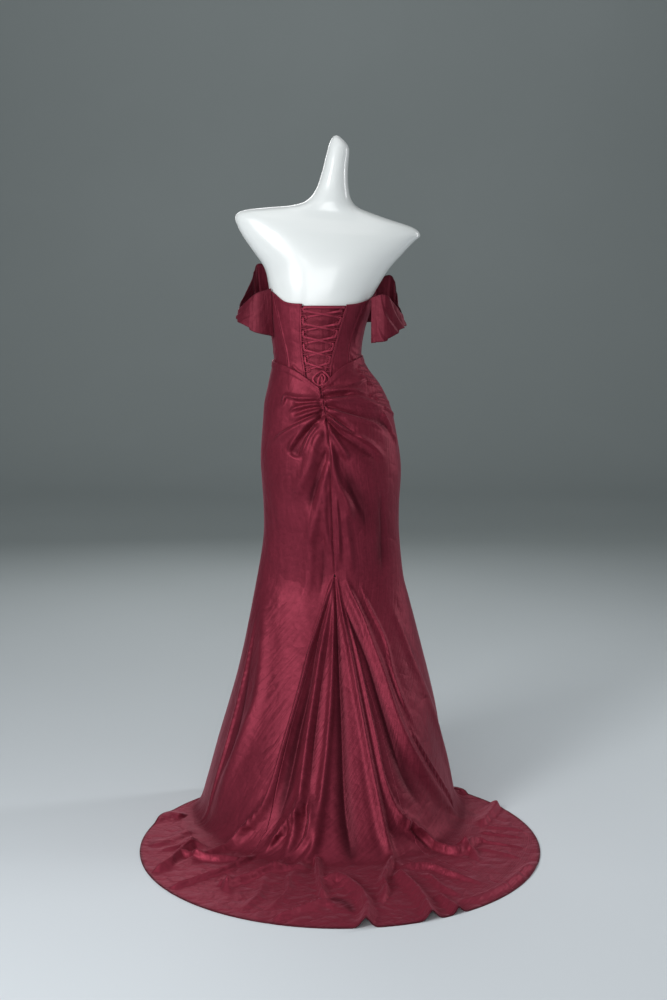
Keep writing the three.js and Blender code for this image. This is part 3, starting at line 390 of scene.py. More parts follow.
# Ridges and valleys that fan out below the apex of the godet and run down onto the train
FAN = (
    Fold(((16, 540), (32, 441), (41, 317), (40, 236), (36, 90), (34, 0)), (10, 34), (4, 16)),
    Fold(((16, 505), (23, 342), (27, 221), (28, 65), (27, -10)), (5, 13), (3, 8), LAP_L),
    Fold(((17, 480), (28, 326), (33, 208), (32, 110)), (7, 18), (3, 12), CREASE),
    Fold(
        ((89, 603), (80, 561), (70, 452), (68, 369), (65, 238), (62, 111), (54, 33), (50, -40), (51, -80)),
        (4, 17), (5, 20), LAP_R, start=0.05, end=0.3,
    ),
    Fold(((88, 590), (76, 483), (74, 370), (71, 260), (69, 119), (66, 30)), (4, 18), (5, 15), CREASE),
    Fold(((88, 600), (85, 561), (78, 445), (76, 300), (75, 104), (73, -11), (70, -50)), (4, 15), (3, 15)),
    Fold(((86, 520), (81, 380), (79, 240), (79, 80)), (4, 12), (2, 9), CREASE),
    Fold(((89, 602), (88, 483), (86.5, 300), (84, 150), (82, 34), (79, -6), (79, -40)), (4, 17), (4, 18)),
    Fold(((91, 604), (92, 446), (92.5, 298), (92.5, 125), (94, 30), (94, -8)), (4, 22), (5, 18), CREASE),
    Fold(
        ((93, 603), (98, 510), (101, 445), (103, 335), (104.5, 200), (106, 60), (107, -12), (106, -40)),
        (3, 15), (4, 17), start=0.05,
    ),
    Fold(((103, 525), (107, 420), (109, 260), (110, 150), (116, 50), (124, -20)), (4, 10), (4, 12), LAP_L),
    Fold(((98, 560), (112, 440), (116, 330), (118, 240), (121, 138), (130, 50)), (5, 20), (5, 14), CREASE),
    Fold(
        (
            (104, 603), (117, 520), (120, 443), (122, 373), (123, 289),
            (127, 209), (137, 110), (150, 35), (157, -29),
        ),
        (6, 18), (6, 16), start=0.06,
    ),
    Fold(((124, 570), (131, 466), (129, 381), (131, 300), (140, 200)), (4, 8), (5, 4), LAP_R),
    Fold(((130, 250), (139, 161), (151, 70), (158, 10)), (5, 9), (4, 9), LAP_R),
    Fold(((148, 540), (150, 400), (158, 250), (172, 90), (178, -20)), (10, 26), (3, 10)),
    Fold(((196, 420), (200, 250), (206, 90), (210, -10)), (14, 30), (3, 9)),
    Fold(((342, 420), (338, 250), (334, 90), (330, -10)), (14, 30), (3, 9)),
)

# Soft folds of the front, which the photo doesn't show, like those of its sides
FRONT = (
    Fold(((206, 1112), (228, 1084), (258, 1068)), (6, 10), (4, 2), LAP_L),
    Fold(((204, 1078), (226, 1030), (254, 1000)), (7, 13), (4, 3), LAP_L),
    Fold(((208, 1020), (224, 950), (240, 900)), (8, 15), (4, 2)),
    Fold(((334, 1114), (308, 1080), (284, 1062)), (6, 10), (3, 2), LAP_R),
    Fold(((338, 1050), (316, 1000), (290, 972)), (8, 14), (4, 3), LAP_R),
    Fold(((214, 760), (222, 520), (226, 240), (228, 60)), (12, 22), (3, 8)),
    Fold(((247, 690), (252, 420), (254, 160), (255, 40)), (10, 17), (2, 7), LAP_L),
    Fold(((289, 720), (286, 420), (283, 160), (283, 40)), (12, 20), (3, 7)),
    Fold(((323, 740), (318, 460), (315, 200), (314, 50)), (11, 22), (3, 9), LAP_R),
    Fold(((268, 330), (268, 180), (269, 50)), (9, 15), (2, 6)),
)

# Folds of the cloth that puddles on the floor
TRAIN = (
    Fold(((49, -96), (48, -71), (45, -46), (43, -23), (49, -7)), (7, 8), (7, 10), LAP_L),
    Fold(((46, -48), (50, -38), (56, -23), (64, 5)), (7, 7), (6, 7), LAP_R),
    Fold(((57, -97), (59, -67), (62, -25), (64, 8)), (5, 7), (5, 6), LAP_R, end=0.2),
    Fold(((66, -64), (68, -46), (73, -15), (84, -4)), (7, 7), (8, 8), LAP_R),
    Fold(((64, -60), (66, -58), (68, -72)), (5, 5), (6, 5)),
    Fold(((66, 10), (71, 61), (77, 106), (80, 98), (79, 45), (73, -10)), (7, 8), (6, 12), LAP_R),
    Fold(((83, 11), (85, -25), (87, -61)), (6, 7), (8, 8), LAP_R, end=0.2),
    Fold(((79, -97), (83, -76), (87, -62), (91, -67)), (6, 6), (6, 7), LAP_L),
    Fold(((86, -30), (90, -22), (94, -45), (95, -73), (94, -100)), (8, 9), (8, 10), end=0),
    Fold(((88, -52), (91, -60), (93, -84)), (6, 6), (5, 4), CREASE),
    Fold(((107, 5), (101, -28), (100, -48), (96, -80)), (6, 7), (9, 7), LAP_L),
    Fold(((105, -18), (106, -55), (105, -100)), (8, 9), (8, 9), end=0),
    Fold(((109.5, -66), (110, -100)), (6, 7), (4, 7), end=0),
    Fold(((107, -12), (114, -22), (117, -47), (122, -84)), (6, 7), (7, 5), LAP_R),
    Fold(((110, 90), (121, 31), (126, -20), (137, -24), (142, -40)), (8, 9), (8, 11), LAP_R),
    Fold(((128, -12), (131, -30), (127, -42)), (5, 6), (7, 6)),
    Fold(((110, -86), (119, -90), (131, -91), (138, -96)), (6, 8), (4, 6)),
    Fold(((150, -20), (160, -38), (167, -62), (172, -88)), (11, 15), (6, 10), LAP_R, end=0.12),
    Fold(((139, -26), (141, -55), (143, -90)), (3.5, 4), (2.5, 2), LAP_R),
    Fold(((145, -22), (147, -52), (149, -88)), (4, 4), (3, 2), LAP_R),
    Fold(((151, -28), (153, -58), (154, -92)), (4, 5), (2.5, 2.5), LAP_L),
    Fold(((134, -30), (136, -60), (137, -86)), (4, 4), (2.5, 2)),
    Fold(((32, -10), (36, -50), (34, -90)), (10, 12), (4, 3)),
    Fold(((38, -14), (41, -40), (40, -80)), (6, 8), (4, 3)),
    Fold(((72, -30), (74, -60), (73, -92)), (6, 7), (3, 4)),
    Fold(((77, -20), (79, -50), (77, -80)), (5, 6), (4, 3), LAP_R),
    Fold(((112, -30), (112, -60), (114, -80)), (5, 6), (4, 3)),
    Fold(((20, -20), (16, -60), (18, -100)), (12, 14), (5, 4), end=0),
    Fold(((186, -20), (190, -60), (192, -100)), (12, 14), (5, 4), end=0),
)


@dataclass(frozen=True)
class SkirtCloth:
    """The skirt's smooth cloth and the folds on it, from the waist down and out to the round hem."""

    hem_radius: float = 470
    inside_hem: float = 8
    ease: float = 12
    foot_x: float = 3
    top_height: float = 1133
    top_tilt: float = 6
    v_depth: float = 72
    v_width: float = 32
    v_power: float = 1.2
    turn_height: float = 45
    turn_reach: float = 34
    form_low: float = 800
    apex_height: float = 606
    wall: float = 2
    seam: float = 0.06
    fall: float = 0.72
    turn: float = 0.82
    band_width: float = 15
    band_height: float = 1.8
    gather_low: float = 972
    tuck_spacing: float = 10.5
    tuck_spread: float = 10
    tuck_depth: float = 4.2
    puff_reach: float = 118
    puff_level: float = 1000
    puff_height: float = 9
    puff_width: float = 104
    left_hip_depth: float = 1.6
    right_hip_depth: float = 1.92
    fan_depth: float = 1.15
    train_depth: float = 2.3
    train_breadth: float = 1.5
    shaded_creases: tuple[float, float] = (0.8, 7)

    def top(self, angle: Field) -> Field:
        """Height of the top edge, with its V at the centre back."""
        off = np.abs((angle - CENTRE_BACK + 180) % 360 - 180)
        level = self.top_height - self.top_tilt * np.cos(np.radians(angle))
        return level - self.v_depth * np.exp(-((off / self.v_width) ** self.v_power))

    def hem(self, angle: Field) -> Field:
        """Distance from the body's axis to the round hem."""
        c, s = np.cos(np.radians(angle)), np.sin(np.radians(angle))
        along = self.foot_x * c + FIGURE.axis_y * s
        return -along + np.sqrt(along**2 - self.foot_x**2 - FIGURE.axis_y**2 + self.hem_radius**2)

    def reach(self, angle: Field, z: Field) -> Field:
        """Distance from the axis to the smooth inner face."""
        least = self.hem(angle) - self.inside_hem
        cut = FIGURE.reach(SKIRT, angle, z)
        near = np.maximum(self.ease - np.abs(cut - least), 0) / self.ease
        cloth = np.minimum(cut, least) - near * near * self.ease / 4
        loose = mix(1.6, 3.0, smooth(self.top(angle) - z, 0, 40))
        over = FIGURE.bodice_reach(angle, z) + self.wall + loose
        return np.where(z < self.form_low, cloth, np.maximum(cloth, over))

    def base(self, angle: Field, share: Field) -> Field:
        """Points of the smooth inner face, by the share of the way from the top to the hem."""
        angle, share = np.broadcast_arrays(np.asarray(angle, float), np.asarray(share, float))
        z = mix(self.top(angle), self.turn_height, np.minimum(share / self.fall, 1))
        hanging = self.reach(angle, z)
        nothing = np.zeros_like(angle)
        foot, hem = self.reach(angle, nothing), self.hem(angle)
        flat = np.minimum(foot + self.turn_reach, mix(foot, hem, 0.6))
        t = np.clip((share - self.fall) / (self.turn - self.fall), 0, 1)
        bend = (1 - t) ** 2 * hanging + 2 * t * (1 - t) * foot + t**2 * flat
        lying = mix(flat, hem, np.clip((share - self.turn) / (1 - self.turn), 0, 1))
        distance = np.select([share <= self.fall, share <= self.turn], [hanging, bend], lying)
        height = np.select([share <= self.fall, share <= self.turn], [z, (1 - t) ** 2 * z], nothing)
        return FIGURE.polar(angle, distance, height)

    def normal(self, angle: Field, share: Field) -> Field:
        """The direction out of the smooth cloth."""
        low, high = np.maximum(share - 0.004, 0), np.minimum(share + 0.004, 1)
        down = self.base(angle, high) - self.base(angle, low)
        around = self.base(angle + 0.5, share) - self.base(angle - 0.5, share)
        return unit(np.cross(down, around))

    def share_at(self, angle: Field, level: Field) -> Field:
        """How far down the cloth a level of a fold's place lies."""
        top = self.top(angle)
        high = self.fall * (top - level) / (top - self.turn_height)
        round_turn = 1 - np.sqrt(np.clip(level, 0, self.turn_height) / self.turn_height)
        low = mix(self.fall, self.turn, round_turn)
        out = mix(self.turn, 1, np.clip(-level / 100, 0, 1))
        return np.select([level >= self.turn_height, level >= 0], [high, low], out)

    def folds(self, points: Field, normals: Field) -> Field:
        """The height of all the folds over the smooth cloth."""
        height = np.zeros(len(points))
        sets = (
            (LEFT_HIP, self.left_hip_depth, 1.0),
            (RIGHT_HIP, self.right_hip_depth, 1.0),
            (FAN, self.fan_depth, 1.0),
            (FRONT, 1.0, 1.0),
            (TRAIN, self.train_depth, self.train_breadth),
        )
        for folds, depth, broad in sets:
            for fold in folds:
                angles, levels = fold_line(fold.places)
                line = self.base(angles, self.share_at(angles, levels))
                height += depth * fold.relief(line, points, normals, broad)
        return height

    def gathers(self, angle: Field, points: Field) -> Field:
        """The ruched centre-back seam: a valley crossed by small tucks, and a plain seam below it."""
        off = np.radians(angle - CENTRE_BACK) * np.hypot(points[:, 0] - 40, points[:, 1] - FIGURE.axis_y)
        z = points[:, 2]
        ruched = smooth(z, self.gather_low, self.gather_low + 18)
        seamed = smooth(z, self.apex_height, self.apex_height + 20) * (points[:, 1] > FIGURE.axis_y)
        valley = -np.exp(-np.abs(off) / 2.2) * mix(1.2, 2.2, ruched)
        lips = np.exp(-(((np.abs(off) - 5) / 3) ** 2)) * mix(1.0, 1.6, ruched)
        beat = (z + 0.8 * np.abs(off) + 2.2 * np.sin(z / 7.3)) / self.tuck_spacing
        tucks = (np.abs(np.sin(math.pi * beat)) - 0.5) * np.exp(-((off / self.tuck_spread) ** 2))
        return seamed * (valley + lips + tucks * ruched * self.tuck_depth)

    def puff(self, points: Field) -> Field:
        """The cloth stands off the form round the gathers."""
        centre = FIGURE.polar(np.array(CENTRE_BACK), np.array(self.puff_reach), np.array(self.puff_level))
        distance = np.linalg.norm(points - centre, axis=-1)
        return self.puff_height * np.exp(-((distance / self.puff_width) ** 2))

    def outer(self, angle: Field, share: Field) -> tuple[Field, Field]:
        """Points of the outer face, with folds, band and rolled hem, and how far each lies in a crease, which
        sets the shade painted into the creases.
        """
        base, normal = self.base(angle, share), self.normal(angle, share)
        z = base[:, 2]
        height = self.folds(base, normal) + self.gathers(angle, base) + self.puff(base)
        down = np.where(share < self.fall, self.top(angle) - z, 1e3)
        seated = smooth(down, 0, 12)
        height = np.where(height > 0, height, height * seated)
        band = self.band_height * (1 - smooth(down, self.band_width - 2, self.band_width + 2))
        rest = self.reach(angle, z) - FIGURE.bodice_reach(angle, z) - self.wall
        floor = -np.maximum(rest - 0.6, 0.4)
        near_form = (z > self.form_low) & (share < self.fall)
        height = np.where(near_form & (height < floor), floor + 0.2 * (height - floor), height)
        to_hem = (1 - share) / (1 - self.turn) * (self.hem(angle) - self.reach(angle, 0 * angle))
        roll = 1.3 * np.exp(-(((to_hem - 2) / 1.8) ** 2)) * (share > self.turn)
        points = base + normal * (height + self.wall + band + roll)[:, None]
        lowest = np.where(share > self.turn, self.wall + roll, self.wall)
        points[:, 2] = np.maximum(points[:, 2], lowest)
        # The second value is the mask of painted shade in the creases.
        return points, smooth(-height, *self.shaded_creases)

    def godet_half(self, share: Field) -> Field:
        """Half the godet's angle."""
        z = self.base(CENTRE_BACK, share)[..., 2]
        past = np.maximum(share - self.fall, 0) / (1 - self.fall)
        return GODET.curve("half", np.where(past > 0, -200 * past, z))

    def gap(self, angle: Field, share: Field) -> Field:
        """Half a seam's gap, as an angle."""
        base = self.base(angle, share)
        distance = np.hypot(base[..., 0] - FIGURE.axis(base[..., 2]), base[..., 1] - FIGURE.axis_y)
        return np.degrees(self.seam / 2 / distance)


CLOTH = SkirtCloth()


class Number:
    """A number that varies over a surface. It wraps a socket, so that sums read as in Python."""

    def __init__(self, graph: "Graph", socket: bpy.types.NodeSocket | None) -> None:
        """Keeps the socket and the graph that it is in."""
        self.graph = graph
        self.socket = socket

    def _math(self, operation: str, first: object, second: object) -> "Number":
        """A Math node's result."""
        return self.graph.node("ShaderNodeMath", {"operation": operation}, {0: first, 1: second})

    def __add__(self, other: object) -> "Number":
        """The sum."""
        return self._math("ADD", self, other)

    def __radd__(self, other: object) -> "Number":
        """The sum, from the right."""
        return self._math("ADD", other, self)

    def __sub__(self, other: object) -> "Number":
        """The difference."""
        return self._math("SUBTRACT", self, other)

    def __rsub__(self, other: object) -> "Number":
        """The difference, from the right."""
        return self._math("SUBTRACT", other, self)

    def __mul__(self, other: object) -> "Number":
        """The product."""
        return self._math("MULTIPLY", self, other)

    def __rmul__(self, other: object) -> "Number":
        """The product, from the right."""
        return self._math("MULTIPLY", other, self)


class Graph:
    """A material's nodes."""

    def __init__(self, name: str) -> None:
        """Makes an empty material of that name."""
        self.material = bpy.data.materials.new(name)
        self.material.use_nodes = True
        self.tree = self.material.node_tree
        self.tree.nodes.clear()

    def node(self, kind: str, settings: dict, inputs: dict, output: int | str = 0) -> Number:
        """Adds a node.

        Args:
            kind: the node's type.
            settings: its properties, which are set first.
            inputs: the values or links of its sockets, by name or number.
            output: which output to hand back.

        Returns:
            The output, wrapped, or an empty wrapper for a node that has none.
        """
        made = self.tree.nodes.new(kind)
        for key, value in settings.items():
            setattr(made, key, value)
        for key, value in inputs.items():
            if isinstance(value, Number):
                self.tree.links.new(value.socket, made.inputs[key])
            else:
                made.inputs[key].default_value = value
        return Number(self, made.outputs[output] if made.outputs else None)

    def stretched(self, vector: Number, scale: tuple[float, float, float]) -> Number:
        """A vector scaled along each axis."""
        return self.node("ShaderNodeVectorMath", {"operation": "MULTIPLY"}, {0: vector, 1: scale})

    def noise(self, vector: Number, scale: float, detail: float = 2) -> Number:
        """Noise from 0 to 1."""
        return self.node("ShaderNodeTexNoise", {}, {"Vector": vector, "Scale": scale, "Detail": detail})

    def blend(self, share: Number, first: object, second: object) -> Number:
        """A colour between two colours."""
        settings = {"data_type": "RGBA", "clamp_factor": True}
        return self.node("ShaderNodeMix", settings, {0: share, 6: first, 7: second}, 2)

    def surface(self, inputs: dict) -> bpy.types.Material:
        """Ends the graph in a Principled shader with these sockets and hands the material back."""
        shader = self.node("ShaderNodeBsdfPrincipled", {}, inputs)
        self.node("ShaderNodeOutputMaterial", {}, {"Surface": shader})
        return self.material


Colour = tuple[float, float, float, float]


@dataclass(frozen=True)
class Satin:
    """Heavy satin: a fine weave with slubs along the cloth's width and a broad sheen."""

    name: str
    shade: Colour = (0.078, 0.0080, 0.0160, 1)
    light: Colour = (0.225, 0.0265, 0.0490, 1)
    # The colour that darkens edges and that is the painted shade in the skirt's creases.
    edge: Colour = (0.030, 0.0040, 0.0075, 1)
    roughness: float = 0.50
    lustre: float = 0.48
    sheen: float = 0.20

    def material(self) -> bpy.types.Material:
        """Builds the material. The attribute "cloth" gives metres across and down, and a mask that darkens
        edges and paints shade into creases.
        """
        g = Graph(self.name)
        cloth = g.node("ShaderNodeAttribute", {"attribute_name": "cloth"}, {}, "Vector")
        edge = g.node("ShaderNodeSeparateXYZ", {}, {"Vector": cloth}, "Z")
        slubs = g.noise(g.stretched(cloth, (70, 700, 0)), 1.0, 3)
        patches = g.noise(g.stretched(cloth, (9, 6, 0)), 1.0, 3)
        place = g.node("ShaderNodeTexCoord", {}, {}, "Object")
        dents = g.noise(place, 15.0, 2) - 0.5
        crumple = g.node("ShaderNodeMath", {"operation": "ABSOLUTE"}, {0: dents})
        crinkle = g.noise(place, 120.0, 3)
        drag = g.noise(g.stretched(cloth, (120, 8, 0)), 1.0, 3)
        down = g.node("ShaderNodeSeparateXYZ", {}, {"Vector": cloth}, "Y")
        lying = g.node("ShaderNodeMapRange", {}, {"Value": down, "From Min": 1.22, "From Max": 1.36})
        tone = slubs * 0.4 + crinkle * 0.4 + drag * 0.4 + patches * 0.5 - 0.4
        # Cloth that lies on the floor is pushed towards the light colour (lying * 0.45): painted light from
        # above.
        colour = g.blend(tone + lying * 0.45, self.shade, self.light)
        # Darkens the cloth's edges, and paints shade into the skirt's creases, from the cloth attribute's
        # third value.
        colour = g.blend(edge, colour, self.edge)
        creased = crumple * (lying * 0.012 + 0.0060)
        crinkled = crinkle * (lying * 0.0010 + 0.0004)
        relief = drag * 0.0011 + creased + crinkled + slubs * 0.00004
        bump = g.node("ShaderNodeBump", {}, {"Height": relief, "Strength": 1.0, "Distance": 1.0})
        return g.surface(
            {
                "Base Color": colour,
                "Roughness": patches * 0.16 + slubs * 0.12 + (self.roughness - 0.14),
                "Normal": bump,
                "Metallic": self.lustre,
                "Specular IOR Level": 0.22,
                "Specular Tint": (1.0, 0.50, 0.56, 1),
                "Sheen Weight": self.sheen,
                "Sheen Roughness": 0.35,
                "Sheen Tint": (1.0, 0.38, 0.50, 1),
            }
        )


@dataclass(frozen=True)
class Shell:
    """A hard smooth skin, moulded or painted, with faint unevenness in its gloss."""

    name: str
    colour: Colour = (0.67, 0.70, 0.695, 1)
    roughness: float = 0.3
    coat: float = 0.35
    metallic: float = 0.0
    grain: float = 220.0

    def material(self) -> bpy.types.Material:
        """Builds the material on Object coordinates."""
        g = Graph(self.name)
        place = g.node("ShaderNodeTexCoord", {}, {}, "Object")
        mottle = g.noise(place, 6.0, 3)
        grain = g.noise(place, self.grain, 2)
        darker = tuple(0.93 * part for part in self.colour[:3]) + (1,)
        bump = g.node("ShaderNodeBump", {}, {"Height": grain, "Strength": 0.05, "Distance": 0.0004})
        return g.surface(
            {
                "Base Color": g.blend(mottle, darker, self.colour),
                "Roughness": mottle * 0.10 + (self.roughness - 0.05),
                "Normal": bump,
                "Metallic": self.metallic,
                "Coat Weight": self.coat,
                "Coat Roughness": 0.12,
            }
        )


def finish_mesh(name: str, bm: bmesh.types.BMesh, cloth: Field | None = None) -> bpy.types.Object:
    """Makes a smooth-shaded object at the origin from a bmesh in millimetres.

    Args:
        name: the object's name.
        bm: its mesh, which is freed.
        cloth: metres across and down the cloth and the mask that darkens its edges and paints shade into its
            creases, for each vertex.

    Returns:
        The object, linked to the scene.
    """
    bmesh.ops.scale(bm, vec=(MM, MM, MM), verts=bm.verts)
    for face in bm.faces:
        face.smooth = True
    mesh = bpy.data.meshes.new(name)
    bm.to_mesh(mesh)
    bm.free()
    if cloth is not None:
        attribute = mesh.attributes.new("cloth", "FLOAT_VECTOR", "POINT")
        attribute.data.foreach_set("vector", cloth.astype(np.float32).ravel())
    made = bpy.data.objects.new(name, mesh)
    bpy.context.scene.collection.objects.link(made)
    return made


def flat_places(bm: bmesh.types.BMesh) -> Field:
    """The vertices' places, as an array."""
    return np.array([v.co for v in bm.verts], float)


def move(bm: bmesh.types.BMesh, points: Field) -> None:
    """Moves every vertex to its new place."""
    for vertex, point in zip(bm.verts, points):
        vertex.co = point


def cloth_piece(name: str, across: Field, down: Field, place: Place, wall: float) -> bpy.types.Object:
    """Makes one piece of cloth from a flat grid, with its wall's thickness inwards.

    Args:
        name: the object's name.
        across: the place of each column, from left to right seen from outside.
        down: the place of each row, from the top.
        place: gives points of the outer face and the cloth's own coordinates from those places.
        wall: thickness of the cloth.

    Returns:
        The object.
    """
    bm = bmesh.new()
    bmesh.ops.create_grid(bm, x_segments=len(across) - 1, y_segments=len(down) - 1, size=1)
    flat = flat_places(bm)
    u = np.interp(flat[:, 0], np.linspace(-1, 1, len(across)), across)
    v = np.interp(-flat[:, 1], np.linspace(-1, 1, len(down)), down)
    points, cloth = place(u, v)
    move(bm, points)
    made = finish_mesh(name, bm, cloth)
    thick = made.modifiers.new("wall", "SOLIDIFY")
    thick.thickness = wall * MM
    thick.offset = -1
    return made


def swept(bm: bmesh.types.BMesh, path: Field, up: Field, half: tuple[float, float], sides: int) -> Field:
    """Adds a closed cord or flat lace along a path, from a ball whose rings are moved onto it.

    Args:
        bm: the mesh to add to.
        path: its centreline.
        up: the direction that is up for it at each point.
        half: half its width and half its thickness.
        sides: faces round it.

    Returns:
        The cloth coordinates of the new vertices.
    """
    made = bmesh.ops.create_uvsphere(bm, u_segments=sides, v_segments=len(path) + 1, radius=1)
    ball = np.array([v.co for v in made["verts"]], float)
    along = np.arccos(np.clip(ball[:, 2], -1, 1)) / math.pi * (len(path) + 1)
    ring = np.clip(np.rint(along).astype(int) - 1, 0, len(path) - 1)
    at_end = np.minimum(along, len(path) + 1 - along) < 0.5
    turn = np.arctan2(ball[:, 1], ball[:, 0])
    forward = unit(np.gradient(path, axis=0))
    side = unit(np.cross(forward, up))
    top = unit(np.cross(side, forward))
    squarer = 0.75
    x = np.sign(np.cos(turn)) * np.abs(np.cos(turn)) ** squarer * half[0]
    y = np.sign(np.sin(turn)) * np.abs(np.sin(turn)) ** squarer * half[1]
    x, y = np.where(at_end, 0, x), np.where(at_end, 0, y)
    for vertex, point in zip(made["verts"], path[ring] - side[ring] * x[:, None] + top[ring] * y[:, None]):
        vertex.co = point
    length = np.concatenate([[0], np.cumsum(np.linalg.norm(np.diff(path, axis=0), axis=1))])
    return np.stack([x * MM, length[ring] * MM, 0 * x], axis=-1)


@dataclass(frozen=True)
class Cut:
    """A piece of cloth's flat cut in metres: its width, its length and, if it isn't a rectangle, its area."""

    width: float
    length: float
    area: float | None = None


def declare(
    piece: bpy.types.Object, nodes: Sequence[str], material: bpy.types.Material
) -> bpy.types.Object:
    """Gives a piece its material and body, and says which CAD nodes it stands for."""
    piece.data.materials.append(material)
    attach(piece, "root")
    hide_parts(*nodes)
    LOG.info("built %s for %s, %d vertices", piece.name, ", ".join(nodes), len(piece.data.vertices))
    return piece


@dataclass
class DressForm:
    """The limbless form: a moulded torso with neck and shoulder caps, on a pole and a round base."""

    shell: Shell
    enamel: Shell
    sides: int = 144
    rings: int = 220
    low: float = 772
    high: float = 1662
    cap: float = 2
    underside: float = 0.06

    def build(self) -> None:
        """Makes the torso smooth and gives the stand its enamel."""
        bm = bmesh.new()
        bmesh.ops.create_uvsphere(bm, u_segments=self.sides, v_segments=self.rings, radius=1)
        ball = flat_places(bm)
        angle = np.degrees(np.arctan2(ball[:, 1], ball[:, 0]))
        down = np.arccos(np.clip(ball[:, 2], -1, 1)) / math.pi
        side = np.clip((down - 1 / self.rings) / (1 - self.underside - 1 / self.rings), 0, 1)
        z = mix(self.high, self.low, side)
        shrink = np.where(down > 1 - self.underside, (1 - down) / self.underside, 1.0)
        shrink = np.where(down < 0.5 / self.rings, 0, shrink)
        points = FIGURE.polar(angle, FIGURE.reach(FORM, angle, z) * shrink, z)
        points[:, 2] += (points[:, 0] - FIGURE.axis(z)) * FORM.curve("slope", z)
        points[:, 2] += np.where(down < 0.5 / self.rings, self.cap, 0)
        move(bm, points)
        torso = finish_mesh("torso_shell", bm)
        declare(torso, ["form_torso"], self.shell.material())
        enamel = self.enamel.material()
        for node in ("form_pole", "form_base"):
            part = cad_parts[node]
            part.data.materials.clear()
            part.data.materials.append(enamel)


class BodicePart(Enum):
    """The bodice's panels: node name, the two seams that bound it, and whether its edge is laced."""

    FRONT_SIDE_L = ("bodice_front_side_l", "-48", "0")
    BACK_SIDE_L = ("bodice_back_side_l", "0", "princess_l")
    BACK_L = ("bodice_back_l", "princess_l", "laced_l")
    BACK_R = ("bodice_back_r", "laced_r", "princess_r")
    BACK_SIDE_R = ("bodice_back_side_r", "princess_r", "180")
    FRONT_SIDE_R = ("bodice_front_side_r", "180", "228")
    FRONT_CENTRE = ("bodice_front_centre", "228", "312")


# Strained wrinkles on the bodice, by angle and height
BODICE_FOLDS = (
    Fold(((52, 1118), (60, 1106), (68, 1098)), (4, 5), (2.2, 1.6), LAP_L),
    Fold(((50, 1104), (58, 1094), (69, 1084)), (4, 5), (2.4, 1.6), LAP_L),
    Fold(((54, 1094), (62, 1084), (70, 1076)), (3.5, 4), (2, 1.4), CREASE),
    Fold(((48, 1130), (54, 1122), (64, 1116)), (4, 6), (1.4, 1), CREASE),
    Fold(((146, 1150), (158, 1142), (172, 1148)), (4, 5), (2.4, 1.8), LAP_R),
    Fold(((144, 1136), (160, 1128), (178, 1130)), (4, 6), (2.6, 2), LAP_R),
    Fold(((148, 1120), (160, 1116), (176, 1116)), (4, 5), (2, 1.6), CREASE),
    Fold(((140, 1146), (146, 1132), (149, 1112)), (3, 4), (2.4, 1.6), LAP_R),
    Fold(((146, 1172), (160, 1160), (176, 1164)), (5, 7), (1.6, 1.2)),
    Fold(((112, 1118), (122, 1110), (134, 1112)), (5, 6), (1.4, 1)),
    Fold(((20, 1128), (4, 1120), (-16, 1124)), (5, 7), (1.8, 1.4)),
    Fold(((22, 1150), (6, 1144), (-12, 1150)), (5, 7), (1.4, 1.2)),
    Fold(((206, 1124), (226, 1118), (250, 1124)), (5, 7), (1.6, 1.4)),
    Fold(((290, 1124), (312, 1118), (334, 1126)), (5, 7), (1.6, 1.4)),
)


